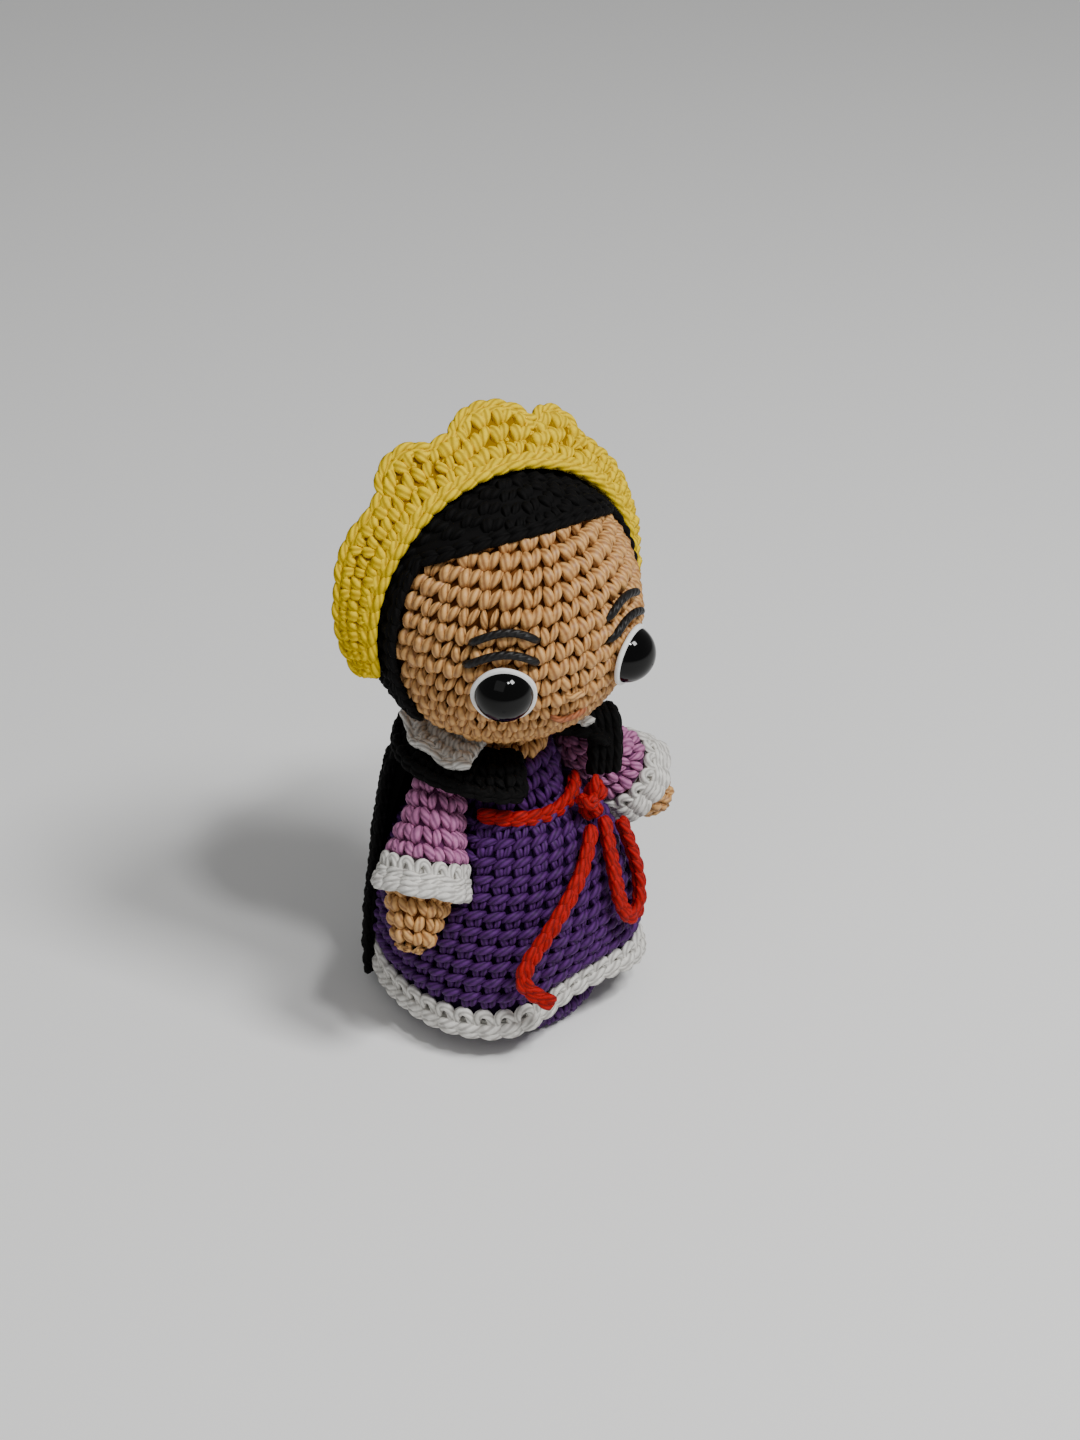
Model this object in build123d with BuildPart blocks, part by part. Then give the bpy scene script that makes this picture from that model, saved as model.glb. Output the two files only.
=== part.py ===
from build123d import *
import os
from math import cos, pi, radians, sin, tan

os.makedirs("parts", exist_ok=True)

# A crocheted doll, standing on its base. Millimetres, +Z up. The doll faces -Y and its right side is -X.
# The origin is the centre of the face that it stands on.

# Driving dimensions
FABRIC = 2.0            # thickness of the crocheted fabric
GAP = 0.1               # between pieces of one body that lie against each other
FREE_GAP = 0.45         # between the arms and the skirt that they rest on
RUN_FIT = 0.08          # radial clearance where one piece turns on another

BASE_R = 14.8
BASE_CORNER = 2.6
WAIST_R = 9.2
WAIST_Z = 36.0
SHOULDER_Z = 44.2
NECK_R = 6.4
NECK_TOP = 49.2
NECK_BORE_R = 4.3       # inside of the neck tube

HEAD_R = 19.5
HEAD_Z = 66.4
HEAD_YAW = -5.0         # the face is turned a little to the doll's right
HAIR_R = 20.4
CROWN_R = 21.0          # inner radius of the crown's front rim
CROWN_TURN = 111.0      # the crown runs this far down each side from the top, in degrees
CROWN_LEAN = 35.0       # the crown's wall opens outwards as it goes back, in degrees

EYE_D = 8.0             # standard 8 mm safety eye
EYE_LON = 31.0
EYE_LAT = -8.0
SHANK_R = 1.25
THREAD_R = 0.45

HEM_R = 19.4
HEM_LOW = 4.4
HEM_HIGH = 9.0
SKIRT_WALL = 1.8

SHOULDER = (12.9, -1.6, 39.3)               # the left arm's pivot; the right one's has -X
ARM_TIP_RIGHT = (-23.1, -8.9, 20.8)
ARM_TIP_LEFT = (27.9, -2.9, 23.1)
SLEEVE_TOP_R = 4.4
SLEEVE_END_R = 5.6
CUFF_AT = 8.3                               # distance from the pivot to the cuff
CUFF_END = 13.5
CUFF_R = 6.7
HAND_R = 4.8
HAND_TIP_R = 3.0
PIN_R = 0.6
PIN_HALF = 3.6
ROOM_R = 9.0                                # reach of the slot that the shoulder thread swings in

BELT_Z = 37.0
BELT_R = 10.3
CORD_D = 2.4

CAPE_HINGE = (12.8, 40.9)                   # y and z of the thread that the cape hangs from
CAPE_HALF_TURN = 56.0                       # the cape wraps this far round each side of the back
CAPE_WALL = 1.2


def save(piece, name):
    piece.label = name
    export_step(piece, "parts/" + name + ".step")


def head_point(lon, lat, radius):
    """A point about the head's centre: lon degrees to the doll's left of the face, lat degrees up."""
    turn = radians(lon + HEAD_YAW)
    rise = radians(lat)
    return (
        radius * sin(turn) * cos(rise),
        -radius * cos(turn) * cos(rise),
        HEAD_Z + radius * sin(rise),
    )


def head_plane(lon, lat, radius):
    """The plane that touches a sphere about the head's centre at that point, with z outwards."""
    outwards = Vector(*head_point(lon, lat, 1.0)) - Vector(0, 0, HEAD_Z)
    return Plane(origin=head_point(lon, lat, radius), x_dir=Vector(0, 0, 1).cross(outwards), z_dir=outwards)


def ring_profile(points):
    """A closed face in the XZ plane, from (radius, z) points."""
    with BuildSketch(Plane.XZ) as profile:
        with BuildLine():
            Polyline(*points, close=True)
        make_face()
    return profile.sketch


# The head and everything on it turns with HEAD_YAW.
head_frame = Plane(
    origin=(0, 0, HEAD_Z),
    x_dir=(cos(radians(HEAD_YAW)), sin(radians(HEAD_YAW)), 0),
    z_dir=(0, 0, 1),
)
eye_sides = {"right": -1, "left": 1}

# ---- Body shell: base, wall and bodice, worked in one piece ----
outer_wall = [(BASE_R, BASE_CORNER), (14.0, 8), (10.2, 21), (WAIST_R, 31), (WAIST_R - 0.2, WAIST_Z)]
bodice_wall = [(8.5, 37.6), (8.2, 39.5), (7.8, 41.5), (NECK_R + 0.2, SHOULDER_Z)]
with BuildPart() as body_shell:
    with BuildSketch(Plane.XZ):
        with BuildLine():
            Line((0, 0), (BASE_R - BASE_CORNER, 0))
            RadiusArc((BASE_R - BASE_CORNER, 0), (BASE_R, BASE_CORNER), -BASE_CORNER)
            Polyline(*outer_wall, *bodice_wall, (0, SHOULDER_Z), (0, 0))
        make_face()
    revolve(axis=Axis.Z)
    inner_wall = [(r - FABRIC, z) for r, z in outer_wall + bodice_wall[:-1]]
    with BuildSketch(Plane.XZ):
        with BuildLine():
            Polyline(
                (0, FABRIC), (BASE_R - FABRIC, FABRIC), *inner_wall, (NECK_BORE_R, 43.0),
                (NECK_BORE_R, SHOULDER_Z), (0, SHOULDER_Z), close=True,
            )
        make_face()
    revolve(axis=Axis.Z, mode=Mode.SUBTRACT)
save(body_shell.part, "body_shell")

# ---- Base disc: a stiff round that keeps the base flat ----
DISC_T = 1.0
with BuildPart() as base_disc:
    with BuildSketch(Plane.XY.offset(FABRIC + GAP)):
        Circle(BASE_R - FABRIC - 0.4)
    extrude(amount=DISC_T)
save(base_disc.part, "base_disc")

# ---- Fibre stuffing of the body and of the neck ----
stuffing_low = FABRIC + 2 * GAP + DISC_T
with BuildPart() as body_stuffing:
    add(revolve(
        ring_profile(
            [(0, stuffing_low), (BASE_R - FABRIC - 0.4, stuffing_low)]
            + [(r - GAP, z) for r, z in inner_wall[1:]]
            + [(NECK_BORE_R - GAP, 43.0), (NECK_BORE_R - GAP, SHOULDER_Z), (0, SHOULDER_Z)]
        ),
        Axis.Z,
        mode=Mode.PRIVATE,
    ))
save(body_stuffing.part, "body_stuffing")

with BuildPart() as neck_tube:
    with BuildSketch(Plane.XY.offset(SHOULDER_Z + GAP)):
        Circle(NECK_R)
        Circle(NECK_BORE_R, mode=Mode.SUBTRACT)
    extrude(amount=NECK_TOP - SHOULDER_Z - GAP)
save(neck_tube.part, "neck_tube")

with BuildPart() as neck_stuffing:
    with BuildSketch(Plane.XY.offset(SHOULDER_Z + GAP)):
        Circle(NECK_BORE_R - GAP)
    extrude(amount=NECK_TOP - SHOULDER_Z - GAP)
save(neck_stuffing.part, "neck_stuffing")

# ---- Head: shell with holes for the neck and the eye shanks, and its stuffing ----
WASHER_R = 4.0
WASHER_T = 1.0
SHANK_IN = 15.6         # how near the head's centre the shank ends
with BuildPart() as head_shell:
    with Locations((0, 0, HEAD_Z)):
        Sphere(HEAD_R)
        Sphere(HEAD_R - FABRIC, mode=Mode.SUBTRACT)
    with BuildSketch(Plane.XY.offset(HEAD_Z - HEAD_R - 1)):
        Circle(NECK_R + RUN_FIT)
    extrude(amount=8, mode=Mode.SUBTRACT)
    for side in eye_sides.values():
        with BuildSketch(head_plane(side * EYE_LON, EYE_LAT, HEAD_R + 1)):
            Circle(SHANK_R)
        extrude(amount=-6, mode=Mode.SUBTRACT)
save(head_shell.part, "head_shell")

with BuildPart() as head_stuffing:
    with Locations((0, 0, HEAD_Z)):
        Sphere(HEAD_R - FABRIC - GAP)
    with BuildSketch(Plane.XY.offset(NECK_TOP + 0.4)):
        Circle(HEAD_R)
    extrude(amount=-HEAD_R, mode=Mode.SUBTRACT)
    for side in eye_sides.values():
        with BuildSketch(head_plane(side * EYE_LON, EYE_LAT, HEAD_R)):
            Circle(WASHER_R + GAP)
        extrude(amount=SHANK_IN - GAP - HEAD_R, mode=Mode.SUBTRACT)
save(head_stuffing.part, "head_stuffing")

# ---- Eyes: dome and ribbed shank in one moulding, white felt behind, washer inside ----
FELT_R = 4.75
FELT_T = 0.7
DOME_RISE = 3.1
for name, side in eye_sides.items():
    with BuildPart() as eye_felt:
        with BuildSketch(head_plane(side * EYE_LON, EYE_LAT, HEAD_R + GAP)):
            Circle(FELT_R)
            Circle(SHANK_R, mode=Mode.SUBTRACT)
        extrude(amount=FELT_T)
    save(eye_felt.part, "eye_felt_" + name)

    dome_plane = head_plane(side * EYE_LON, EYE_LAT, HEAD_R + GAP + FELT_T)
    dome_ball_r = ((EYE_D / 2) ** 2 + DOME_RISE**2) / (2 * DOME_RISE)
    with BuildPart() as eye:
        with Locations(dome_plane.offset(DOME_RISE - dome_ball_r).location):
            Sphere(dome_ball_r)
        with BuildSketch(dome_plane.offset(-2 * dome_ball_r)):
            Circle(2 * dome_ball_r)
        extrude(amount=2 * dome_ball_r, mode=Mode.SUBTRACT)
        with BuildSketch(head_plane(side * EYE_LON, EYE_LAT, SHANK_IN)):
            Circle(SHANK_R)
        extrude(amount=HEAD_R + GAP + FELT_T + 0.5 - SHANK_IN)
    save(eye.part, "eye_" + name)

    with BuildPart() as eye_washer:
        with BuildSketch(head_plane(side * EYE_LON, EYE_LAT, HEAD_R - FABRIC - 1.7)):
            Circle(WASHER_R)
            Circle(SHANK_R, mode=Mode.SUBTRACT)
        extrude(amount=WASHER_T)
    save(eye_washer.part, "eye_washer_" + name)

# ---- Stitched features: thread laid on the head along arcs of the sphere ----
THREAD_AT = HEAD_R + THREAD_R + 0.02
stitched = {}
for name, side in eye_sides.items():
    stitched["brow_" + name] = [(side * 17, 14), (side * 30, 18.5), (side * 45, 13)]
    stitched["lash_" + name] = [(side * 17, 4.5), (side * EYE_LON, 9.6), (side * 47, 3)]
stitched["nose_stitch"] = [(-3.5, -15), (0, -14.2), (3.5, -15)]
stitched["mouth_stitch"] = [(-9, -26), (0, -28.5), (9, -26)]
for name, places in stitched.items():
    start, middle, end = [head_point(lon, lat, THREAD_AT) for lon, lat in places]
    with BuildPart() as thread:
        with BuildLine() as run:
            ThreePointArc(start, middle, end)
        with BuildSketch(Plane(origin=run.line @ 0, z_dir=run.line % 0)):
            Circle(THREAD_R)
        sweep(path=run.line)
    save(thread.part, name)

# ---- Hair cap: a thin crocheted cap with an arched face opening ----
FACE_HALF = 20.6        # half width of the face opening
FACE_TOP = 15.3         # its height above the head's centre
FACE_BACK = -2.8        # how far round the cap comes at the sides
HAIR_LOW = -12.0
with BuildPart() as hair_cap:
    with Locations((0, 0, HEAD_Z)):
        Sphere(HAIR_R)
        Sphere(HEAD_R + 0.05, mode=Mode.SUBTRACT)
    face_wall = Plane(
        origin=head_frame.from_local_coords((0, FACE_BACK, 0)),
        x_dir=head_frame.x_dir,
        z_dir=-head_frame.y_dir,
    )
    with BuildSketch(face_wall):
        Ellipse(FACE_HALF, FACE_TOP)
        with Locations((0, -HAIR_R)):
            Rectangle(2 * HAIR_R + 2, 2 * HAIR_R)
    extrude(amount=HAIR_R + 2, mode=Mode.SUBTRACT)
    with BuildSketch(Plane.XY.offset(HEAD_Z + HAIR_LOW)):
        Circle(HAIR_R + 1)
    extrude(amount=-HAIR_R, mode=Mode.SUBTRACT)
save(hair_cap.part, "hair_cap")

# ---- Crown: an open band that stands over the head like a tiara, with scallops along its back edge ----
CROWN_Y = 0.5
CROWN_WALL = 1.8
lean = radians(CROWN_LEAN)
crown_axis = Axis(head_frame.origin, head_frame.y_dir)


def crown_section(angle, width):
    """The crown wall's section, angle degrees round from the top: a strip that leans outwards and back."""
    turn = radians(angle)
    up = head_frame.x_dir * sin(turn) + Vector(0, 0, 1) * cos(turn)
    plane = Plane(origin=head_frame.origin, x_dir=up, z_dir=up.cross(head_frame.y_dir))
    foot = (CROWN_R, CROWN_Y)
    across = (sin(lean), cos(lean))
    thick = (cos(lean) * CROWN_WALL, -sin(lean) * CROWN_WALL)
    with BuildSketch(plane) as section:
        with BuildLine():
            Polyline(
                foot,
                (foot[0] + across[0] * width, foot[1] + across[1] * width),
                (foot[0] + across[0] * width + thick[0], foot[1] + across[1] * width + thick[1]),
                (foot[0] + thick[0], foot[1] + thick[1]),
                close=True,
            )
        make_face()
    return section.sketch


# The band is widest at the top. Each stretch is centre angle, half turn and width.
crown_stretches = [(0, CROWN_TURN, 4.4), (0, 62, 6.6), (0, 43, 7.6)]
crown_stretches += [(centre, 11.5, 10.4) for centre in (-30, 0, 30)]
crown_stretches += [(centre, 5.5, 11.3) for centre in (-30, 0, 30)]
with BuildPart() as crown:
    for centre, half, width in crown_stretches:
        add(revolve(crown_section(centre - half, width), crown_axis, 2 * half, mode=Mode.PRIVATE))
save(crown.part, "crown")

# ---- Arms: the same arm on each side, made along the line from its pivot to the tip of its hand ----
arm_planes = {}
for name, tip in (("right", ARM_TIP_RIGHT), ("left", ARM_TIP_LEFT)):
    pivot = Vector(SHOULDER[0] * eye_sides[name], SHOULDER[1], SHOULDER[2])
    along = Vector(*tip) - pivot
    arm_planes[name] = Plane(origin=pivot, x_dir=Vector(0, 1, 0).cross(along), z_dir=along)
ARM_LONG = (Vector(*ARM_TIP_RIGHT) - arm_planes["right"].origin).length


def arm_piece(plane, profile, mode=Mode.ADD):
    """A round piece about the arm's line, from (radius, distance from the pivot) points."""
    section = Plane(origin=plane.origin, x_dir=plane.x_dir, z_dir=-plane.y_dir)
    with BuildSketch(section) as face:
        with BuildLine():
            Polyline(*profile, close=True)
        make_face()
    add(revolve(face.sketch, Axis(plane.origin, plane.z_dir), mode=Mode.PRIVATE), mode=mode)


for name, plane in arm_planes.items():
    inwards = -eye_sides[name]
    pivot_line = Plane(origin=plane.origin, x_dir=(1, 0, 0), z_dir=(0, 1, 0))
    # The room that the shoulder thread needs: its pin, and its post over the arm's whole swing.
    with BuildPart() as thread_room:
        with BuildSketch(pivot_line.offset(-SLEEVE_TOP_R)):
            Circle(PIN_R + RUN_FIT)
        extrude(amount=2 * SLEEVE_TOP_R)
        with BuildSketch(pivot_line.offset(-PIN_R - 0.2)):
            with BuildLine():
                first, last = (-72, 32) if name == "right" else (148, 252)
                corners = [
                    (ROOM_R * cos(radians(turn)), ROOM_R * sin(radians(turn)))
                    for turn in (first, (first + last) / 2, last)
                ]
                Line((0, 0), corners[0])
                ThreePointArc(*corners)
                Line(corners[2], (0, 0))
            make_face()
        extrude(amount=2 * PIN_R + 0.4)

    with BuildPart() as sleeve:
        with Locations(plane.origin):
            Sphere(SLEEVE_TOP_R)
        arm_piece(plane, [(0, 0), (SLEEVE_TOP_R, 0), (4.6, 3), (SLEEVE_END_R, CUFF_AT), (0, CUFF_AT)])
        with Locations(plane.origin):
            Sphere(SLEEVE_TOP_R - FABRIC, mode=Mode.SUBTRACT)
        arm_piece(
            plane,
            [(0, 0), (SLEEVE_TOP_R - FABRIC, 0), (4.6 - FABRIC, 3), (SLEEVE_END_R - FABRIC, CUFF_AT), (0, CUFF_AT)],
            Mode.SUBTRACT,
        )
        add(thread_room.part, mode=Mode.SUBTRACT)
    save(sleeve.part, "sleeve_" + name)

    with BuildPart() as cuff:
        arm_piece(plane, [
            (HAND_R + GAP, CUFF_AT + GAP), (SLEEVE_END_R + 0.2, CUFF_AT + GAP), (CUFF_R, CUFF_END),
            (CUFF_R - 1.2, CUFF_END), (HAND_R + GAP, CUFF_AT + 2),
        ])
    save(cuff.part, "cuff_" + name)

    with BuildPart() as hand:
        arm_piece(plane, [
            (0, CUFF_AT + GAP), (HAND_R, CUFF_AT + GAP), (HAND_R, 14.2), (4.2, 17.0),
            (HAND_TIP_R, ARM_LONG - HAND_TIP_R), (0, ARM_LONG - HAND_TIP_R),
        ])
        with Locations(plane.offset(ARM_LONG - HAND_TIP_R).origin):
            Sphere(HAND_TIP_R)
        arm_piece(plane, [
            (0, CUFF_AT + GAP), (HAND_R - FABRIC, CUFF_AT + GAP), (HAND_R - FABRIC, 14.2), (4.2 - FABRIC, 17.0),
            (0, 20),
        ], Mode.SUBTRACT)
    save(hand.part, "hand_" + name)

    with BuildPart() as arm_stuffing:
        with Locations(plane.origin):
            Sphere(SLEEVE_TOP_R - FABRIC - GAP)
        arm_piece(plane, [
            (0, 0), (SLEEVE_TOP_R - FABRIC - GAP, 0), (4.6 - FABRIC - GAP, 3), (HAND_R - FABRIC - GAP, CUFF_AT),
            (HAND_R - FABRIC - GAP, 14.2), (4.2 - FABRIC - GAP, 17.0), (0, 19.6),
        ])
        add(thread_room.part, mode=Mode.SUBTRACT)
    save(arm_stuffing.part, "arm_stuffing_" + name)

    # The yarn that holds the arm: a post out of the bodice and a crossbar inside the sleeve.
    with BuildPart() as shoulder_thread:
        with BuildSketch(pivot_line.offset(-PIN_HALF)):
            Circle(PIN_R)
        extrude(amount=2 * PIN_HALF)
        with BuildSketch(Plane(origin=plane.origin, x_dir=(0, 1, 0), z_dir=(inwards, 0, 0))):
            Circle(PIN_R - 0.1)
        extrude(amount=SHOULDER[0] - 7.0)
    save(shoulder_thread.part, "shoulder_thread_" + name)

# ---- Skirt: a bell of crocheted fabric, pressed in under the arms that rest on it ----
skirt_line = [(10.95, 35.8), (13.2, 33.9), (14.9, 31.0), (16.4, 27.5), (17.9, 22.5), (18.9, 17.0), (HEM_R, HEM_HIGH)]


def skirt_solid(inset):
    """The skirt's bell as a full round solid, its wall moved in by inset."""
    with BuildSketch(Plane.XZ) as face:
        with BuildLine():
            Spline(*[(r - inset, z) for r, z in skirt_line])
            Polyline((HEM_R - inset, HEM_HIGH), (0, HEM_HIGH), (0, 35.8), (10.95 - inset, 35.8))
        make_face()
    return revolve(face.sketch, Axis.Z, mode=Mode.PRIVATE)


def press_in(room):
    """Takes away the space of both arms, with room more on each side."""
    for plane in arm_planes.values():
        arm_piece(plane, [
            (0, -4), (SLEEVE_TOP_R + room, -2), (SLEEVE_END_R + room, CUFF_AT - 1),
            (CUFF_R + room, CUFF_AT + 1), (CUFF_R + room, CUFF_END + 1), (HAND_TIP_R + room, ARM_LONG + 3),
            (0, ARM_LONG + 4),
        ], Mode.SUBTRACT)


with BuildPart() as skirt_inside:
    add(skirt_solid(SKIRT_WALL))
    press_in(FREE_GAP + SKIRT_WALL)
with BuildPart() as skirt:
    add(skirt_solid(0))
    press_in(FREE_GAP)
    add(skirt_inside.part, mode=Mode.SUBTRACT)
    with BuildSketch(Plane.XY.offset(HEM_HIGH)):
        Circle(WAIST_R + GAP)
    extrude(amount=SHOULDER_Z, mode=Mode.SUBTRACT)
save(skirt.part, "skirt")

with BuildPart() as hem_trim:
    add(revolve(
        ring_profile([
            (HEM_R - SKIRT_WALL, HEM_LOW), (HEM_R, HEM_LOW),
            (HEM_R, HEM_HIGH - 0.05), (HEM_R - SKIRT_WALL, HEM_HIGH - 0.05),
        ]),
        Axis.Z,
        mode=Mode.PRIVATE,
    ))
save(hem_trim.part, "hem_trim")

# ---- Belt: a chain-stitch cord that runs in front and behind, pressed flat under the arms ----
BELT_HALF_TURN = 56.0
KNOT_TURN = 28.0        # the knot's place, in degrees to the doll's left of the front
KNOT_OUT = 13.6
KNOT_R = 2.6
knot_centre = (KNOT_OUT * sin(radians(KNOT_TURN)), -KNOT_OUT * cos(radians(KNOT_TURN)), BELT_Z + 0.2)
with BuildPart() as belt_cord:
    for middle in (-90, 90):
        first = radians(middle - BELT_HALF_TURN)
        plane = Plane(origin=(0, 0, BELT_Z), x_dir=(cos(first), sin(first), 0), z_dir=(sin(first), -cos(first), 0))
        with BuildSketch(plane) as section:
            with Locations((BELT_R, 0)):
                Circle(CORD_D / 2)
        revolve(axis=Axis.Z, revolution_arc=2 * BELT_HALF_TURN)
    with Locations(knot_centre):
        Sphere(KNOT_R + GAP, mode=Mode.SUBTRACT)
save(belt_cord.part, "belt_cord")

with BuildPart() as belt_knot:
    with Locations(knot_centre):
        Sphere(KNOT_R)
save(belt_knot.part, "belt_knot")

# ---- Sash tails: the belt's two loose ends, lying on the skirt ----
tail_routes = {
    "sash_tail_right": [
        (5.0, -14.5, 34.5), (2.4, -16.8, 31.3), (-1.6, -18.3, 27.3), (-5.8, -18.8, 23.0),
        (-9.9, -18.5, 18.6), (-10.6, -19.0, 15.1), (-6.5, -20.7, 11.9),
    ],
    "sash_tail_left": [
        (7.7, -13.9, 34.6), (7.3, -15.6, 31.0), (7.1, -17.4, 27.0), (7.0, -18.8, 22.8),
        (8.4, -19.3, 19.4), (12.0, -17.5, 19.2), (13.7, -15.1, 22.8), (13.3, -13.5, 27.2),
        (12.3, -12.2, 31.4),
    ],
}
for name, route in tail_routes.items():
    radii = []
    for before, corner, after in zip(route, route[1:], route[2:]):
        run_in = Vector(*corner) - Vector(*before)
        run_out = Vector(*after) - Vector(*corner)
        half_turn = radians(run_in.get_angle(run_out)) / 2
        radii.append(0.45 * min(run_in.length, run_out.length) / tan(half_turn))
    with BuildPart() as tail:
        with BuildLine() as run:
            FilletPolyline(*route, radius=radii)
        path = run.wires()[0]
        with BuildSketch(Plane(origin=path @ 0, z_dir=path % 0)):
            Circle(CORD_D / 2)
        sweep(path=path)
    share = tail.part.volume / (pi * CORD_D**2 / 4 * path.length)
    print(name, "length", round(path.length, 2), "radii", [round(r, 1) for r in radii], "volume", round(share, 3))
    save(tail.part, name)

# ---- Cape yoke: the fabric over the shoulders, open in front, with a lapel at each end ----
YOKE_IN, YOKE_OUT = 7.3, 15.4
YOKE_LOW_IN, YOKE_LOW_OUT = 45.3, 43.9
YOKE_WALL = 1.3
YOKE_RIGHT = 22.0       # where the right lapel ends, in degrees from the front
YOKE_LEFT = 50.0
FLAP_OUT = 13.9         # how far out the left lapel's end hangs
with BuildPart() as cape_yoke:
    start = radians(-90 + YOKE_LEFT)
    plane = Plane(origin=(0, 0, 0), x_dir=(cos(start), sin(start), 0), z_dir=(sin(start), -cos(start), 0))
    with BuildSketch(plane):
        with BuildLine():
            Polyline(
                (YOKE_IN, YOKE_LOW_IN), (YOKE_OUT, YOKE_LOW_OUT), (YOKE_OUT, YOKE_LOW_OUT + YOKE_WALL),
                (YOKE_IN, YOKE_LOW_IN + YOKE_WALL), close=True,
            )
        make_face()
    revolve(axis=Axis.Z, revolution_arc=360 - YOKE_LEFT - YOKE_RIGHT)
    # The left lapel's end hangs down over the front of the shoulder.
    flap_turn = radians(YOKE_LEFT - 3)
    flap_plane = Plane(
        origin=(FLAP_OUT * sin(flap_turn), -FLAP_OUT * cos(flap_turn), 44.6),
        x_dir=(cos(flap_turn), sin(flap_turn), 0),
        z_dir=(0, 0, -1),
    )
    with BuildSketch(flap_plane):
        Rectangle(5.0, 1.5)
    extrude(amount=4.4)
save(cape_yoke.part, "cape_yoke")

# ---- Cape back: a curved panel with a straight roll at its top, hanging on a thread ----
ROLL_HALF = 6.6
ROLL_R = 1.2
hinge_y, hinge_z = CAPE_HINGE
cape_line = [(13.2, 41.2), (16.4, 37.0), (18.0, 30.0), (19.0, 22.0), (19.7, 14.0), (19.9, 3.0)]
hinge_line = Plane(origin=(0, hinge_y, hinge_z), x_dir=(0, 1, 0), z_dir=(1, 0, 0))
with BuildPart() as cape_back:
    start = radians(90 - CAPE_HALF_TURN)
    plane = Plane(origin=(0, 0, 0), x_dir=(cos(start), sin(start), 0), z_dir=(sin(start), -cos(start), 0))
    with BuildSketch(plane):
        with BuildLine():
            Polyline(*cape_line, *[(r + CAPE_WALL, z) for r, z in reversed(cape_line)], close=True)
        make_face()
    revolve(axis=Axis.Z, revolution_arc=2 * CAPE_HALF_TURN)
    with BuildSketch(hinge_line.offset(-ROLL_HALF)):
        Circle(ROLL_R)
    extrude(amount=2 * ROLL_HALF)
    with BuildSketch(hinge_line.offset(-ROLL_HALF - 1)):
        Circle(PIN_R - 0.1 + RUN_FIT)
    extrude(amount=2 * ROLL_HALF + 2, mode=Mode.SUBTRACT)
save(cape_back.part, "cape_back")

THREAD_HALF = ROLL_HALF + 1.0
with BuildPart() as cape_thread:
    with BuildSketch(hinge_line.offset(-THREAD_HALF)):
        Circle(PIN_R - 0.1)
    extrude(amount=2 * THREAD_HALF)
    with BuildSketch(Plane.XY.offset(hinge_z)):
        with Locations((-THREAD_HALF, hinge_y), (THREAD_HALF, hinge_y)):
            Circle(PIN_R - 0.1)
    extrude(amount=YOKE_LOW_OUT + 0.9 - hinge_z)
save(cape_thread.part, "cape_thread")

# ---- Collar: a ruffle that lies on the yoke behind the neck ----
COLLAR_IN, COLLAR_OUT = 7.0, 13.4
COLLAR_HALF_TURN = 128.0
with BuildPart() as collar:
    start = radians(90 - COLLAR_HALF_TURN)
    plane = Plane(origin=(0, 0, 0), x_dir=(cos(start), sin(start), 0), z_dir=(sin(start), -cos(start), 0))
    with BuildSketch(plane):
        with BuildLine():
            Polyline((COLLAR_IN, 46.8), (COLLAR_OUT, 47.6), (COLLAR_OUT, 48.9), (COLLAR_IN, 47.7), close=True)
        make_face()
    revolve(axis=Axis.Z, revolution_arc=2 * COLLAR_HALF_TURN)
save(collar.part, "collar")
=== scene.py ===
"""A crocheted doll, 95 mm tall, standing on its flat base. Every piece is built from its stitches.

Lengths in the shapes are millimetres, as on the pattern; solid() turns them into metres.
The doll faces -Y and its right side is -X. Azimuth 0 is its front and +90 degrees its left."""
from math import cos, pi, radians, sin

import bpy
import numpy as np
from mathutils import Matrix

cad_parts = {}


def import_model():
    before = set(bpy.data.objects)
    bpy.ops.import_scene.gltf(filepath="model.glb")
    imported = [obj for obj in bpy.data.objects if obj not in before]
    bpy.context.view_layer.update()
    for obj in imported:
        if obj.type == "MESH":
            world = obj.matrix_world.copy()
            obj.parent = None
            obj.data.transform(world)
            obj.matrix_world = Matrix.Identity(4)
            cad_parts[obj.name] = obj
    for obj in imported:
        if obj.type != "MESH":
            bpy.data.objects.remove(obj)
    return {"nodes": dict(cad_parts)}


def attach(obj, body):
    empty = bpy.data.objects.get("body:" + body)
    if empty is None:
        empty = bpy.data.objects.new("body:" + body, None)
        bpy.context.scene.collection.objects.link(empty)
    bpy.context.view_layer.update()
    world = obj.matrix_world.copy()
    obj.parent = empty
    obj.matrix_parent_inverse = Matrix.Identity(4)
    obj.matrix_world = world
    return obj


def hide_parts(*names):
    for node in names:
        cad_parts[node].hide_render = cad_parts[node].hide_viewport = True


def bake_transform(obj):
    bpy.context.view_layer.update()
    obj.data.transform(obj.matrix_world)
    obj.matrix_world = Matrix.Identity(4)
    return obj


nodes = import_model()["nodes"]
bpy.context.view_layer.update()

# ---- Camera and studio ----
# The doll is seen from its front right, from above. The lens is shifted, so the lines of view stay straight.
HEAD_CENTRE = np.array([0, 0, 66.4])
CAMERA_TURN, CAMERA_RISE, CAMERA_FAR = radians(-36), radians(30), 370
towards_camera = np.array([
    sin(CAMERA_TURN) * cos(CAMERA_RISE), -cos(CAMERA_TURN) * cos(CAMERA_RISE), sin(CAMERA_RISE),
])
camera = bpy.data.objects.new("camera", bpy.data.cameras.new("camera"))
bpy.context.scene.collection.objects.link(camera)
bpy.context.scene.camera = camera
camera.location = (HEAD_CENTRE + CAMERA_FAR * towards_camera) / 1000
camera.rotation_euler = (pi / 2 - CAMERA_RISE, 0, CAMERA_TURN)
camera.data.lens, camera.data.sensor_width = 66, 36
camera.data.shift_x, camera.data.shift_y = 0.025, -0.081
camera.data.clip_start = 0.01


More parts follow.
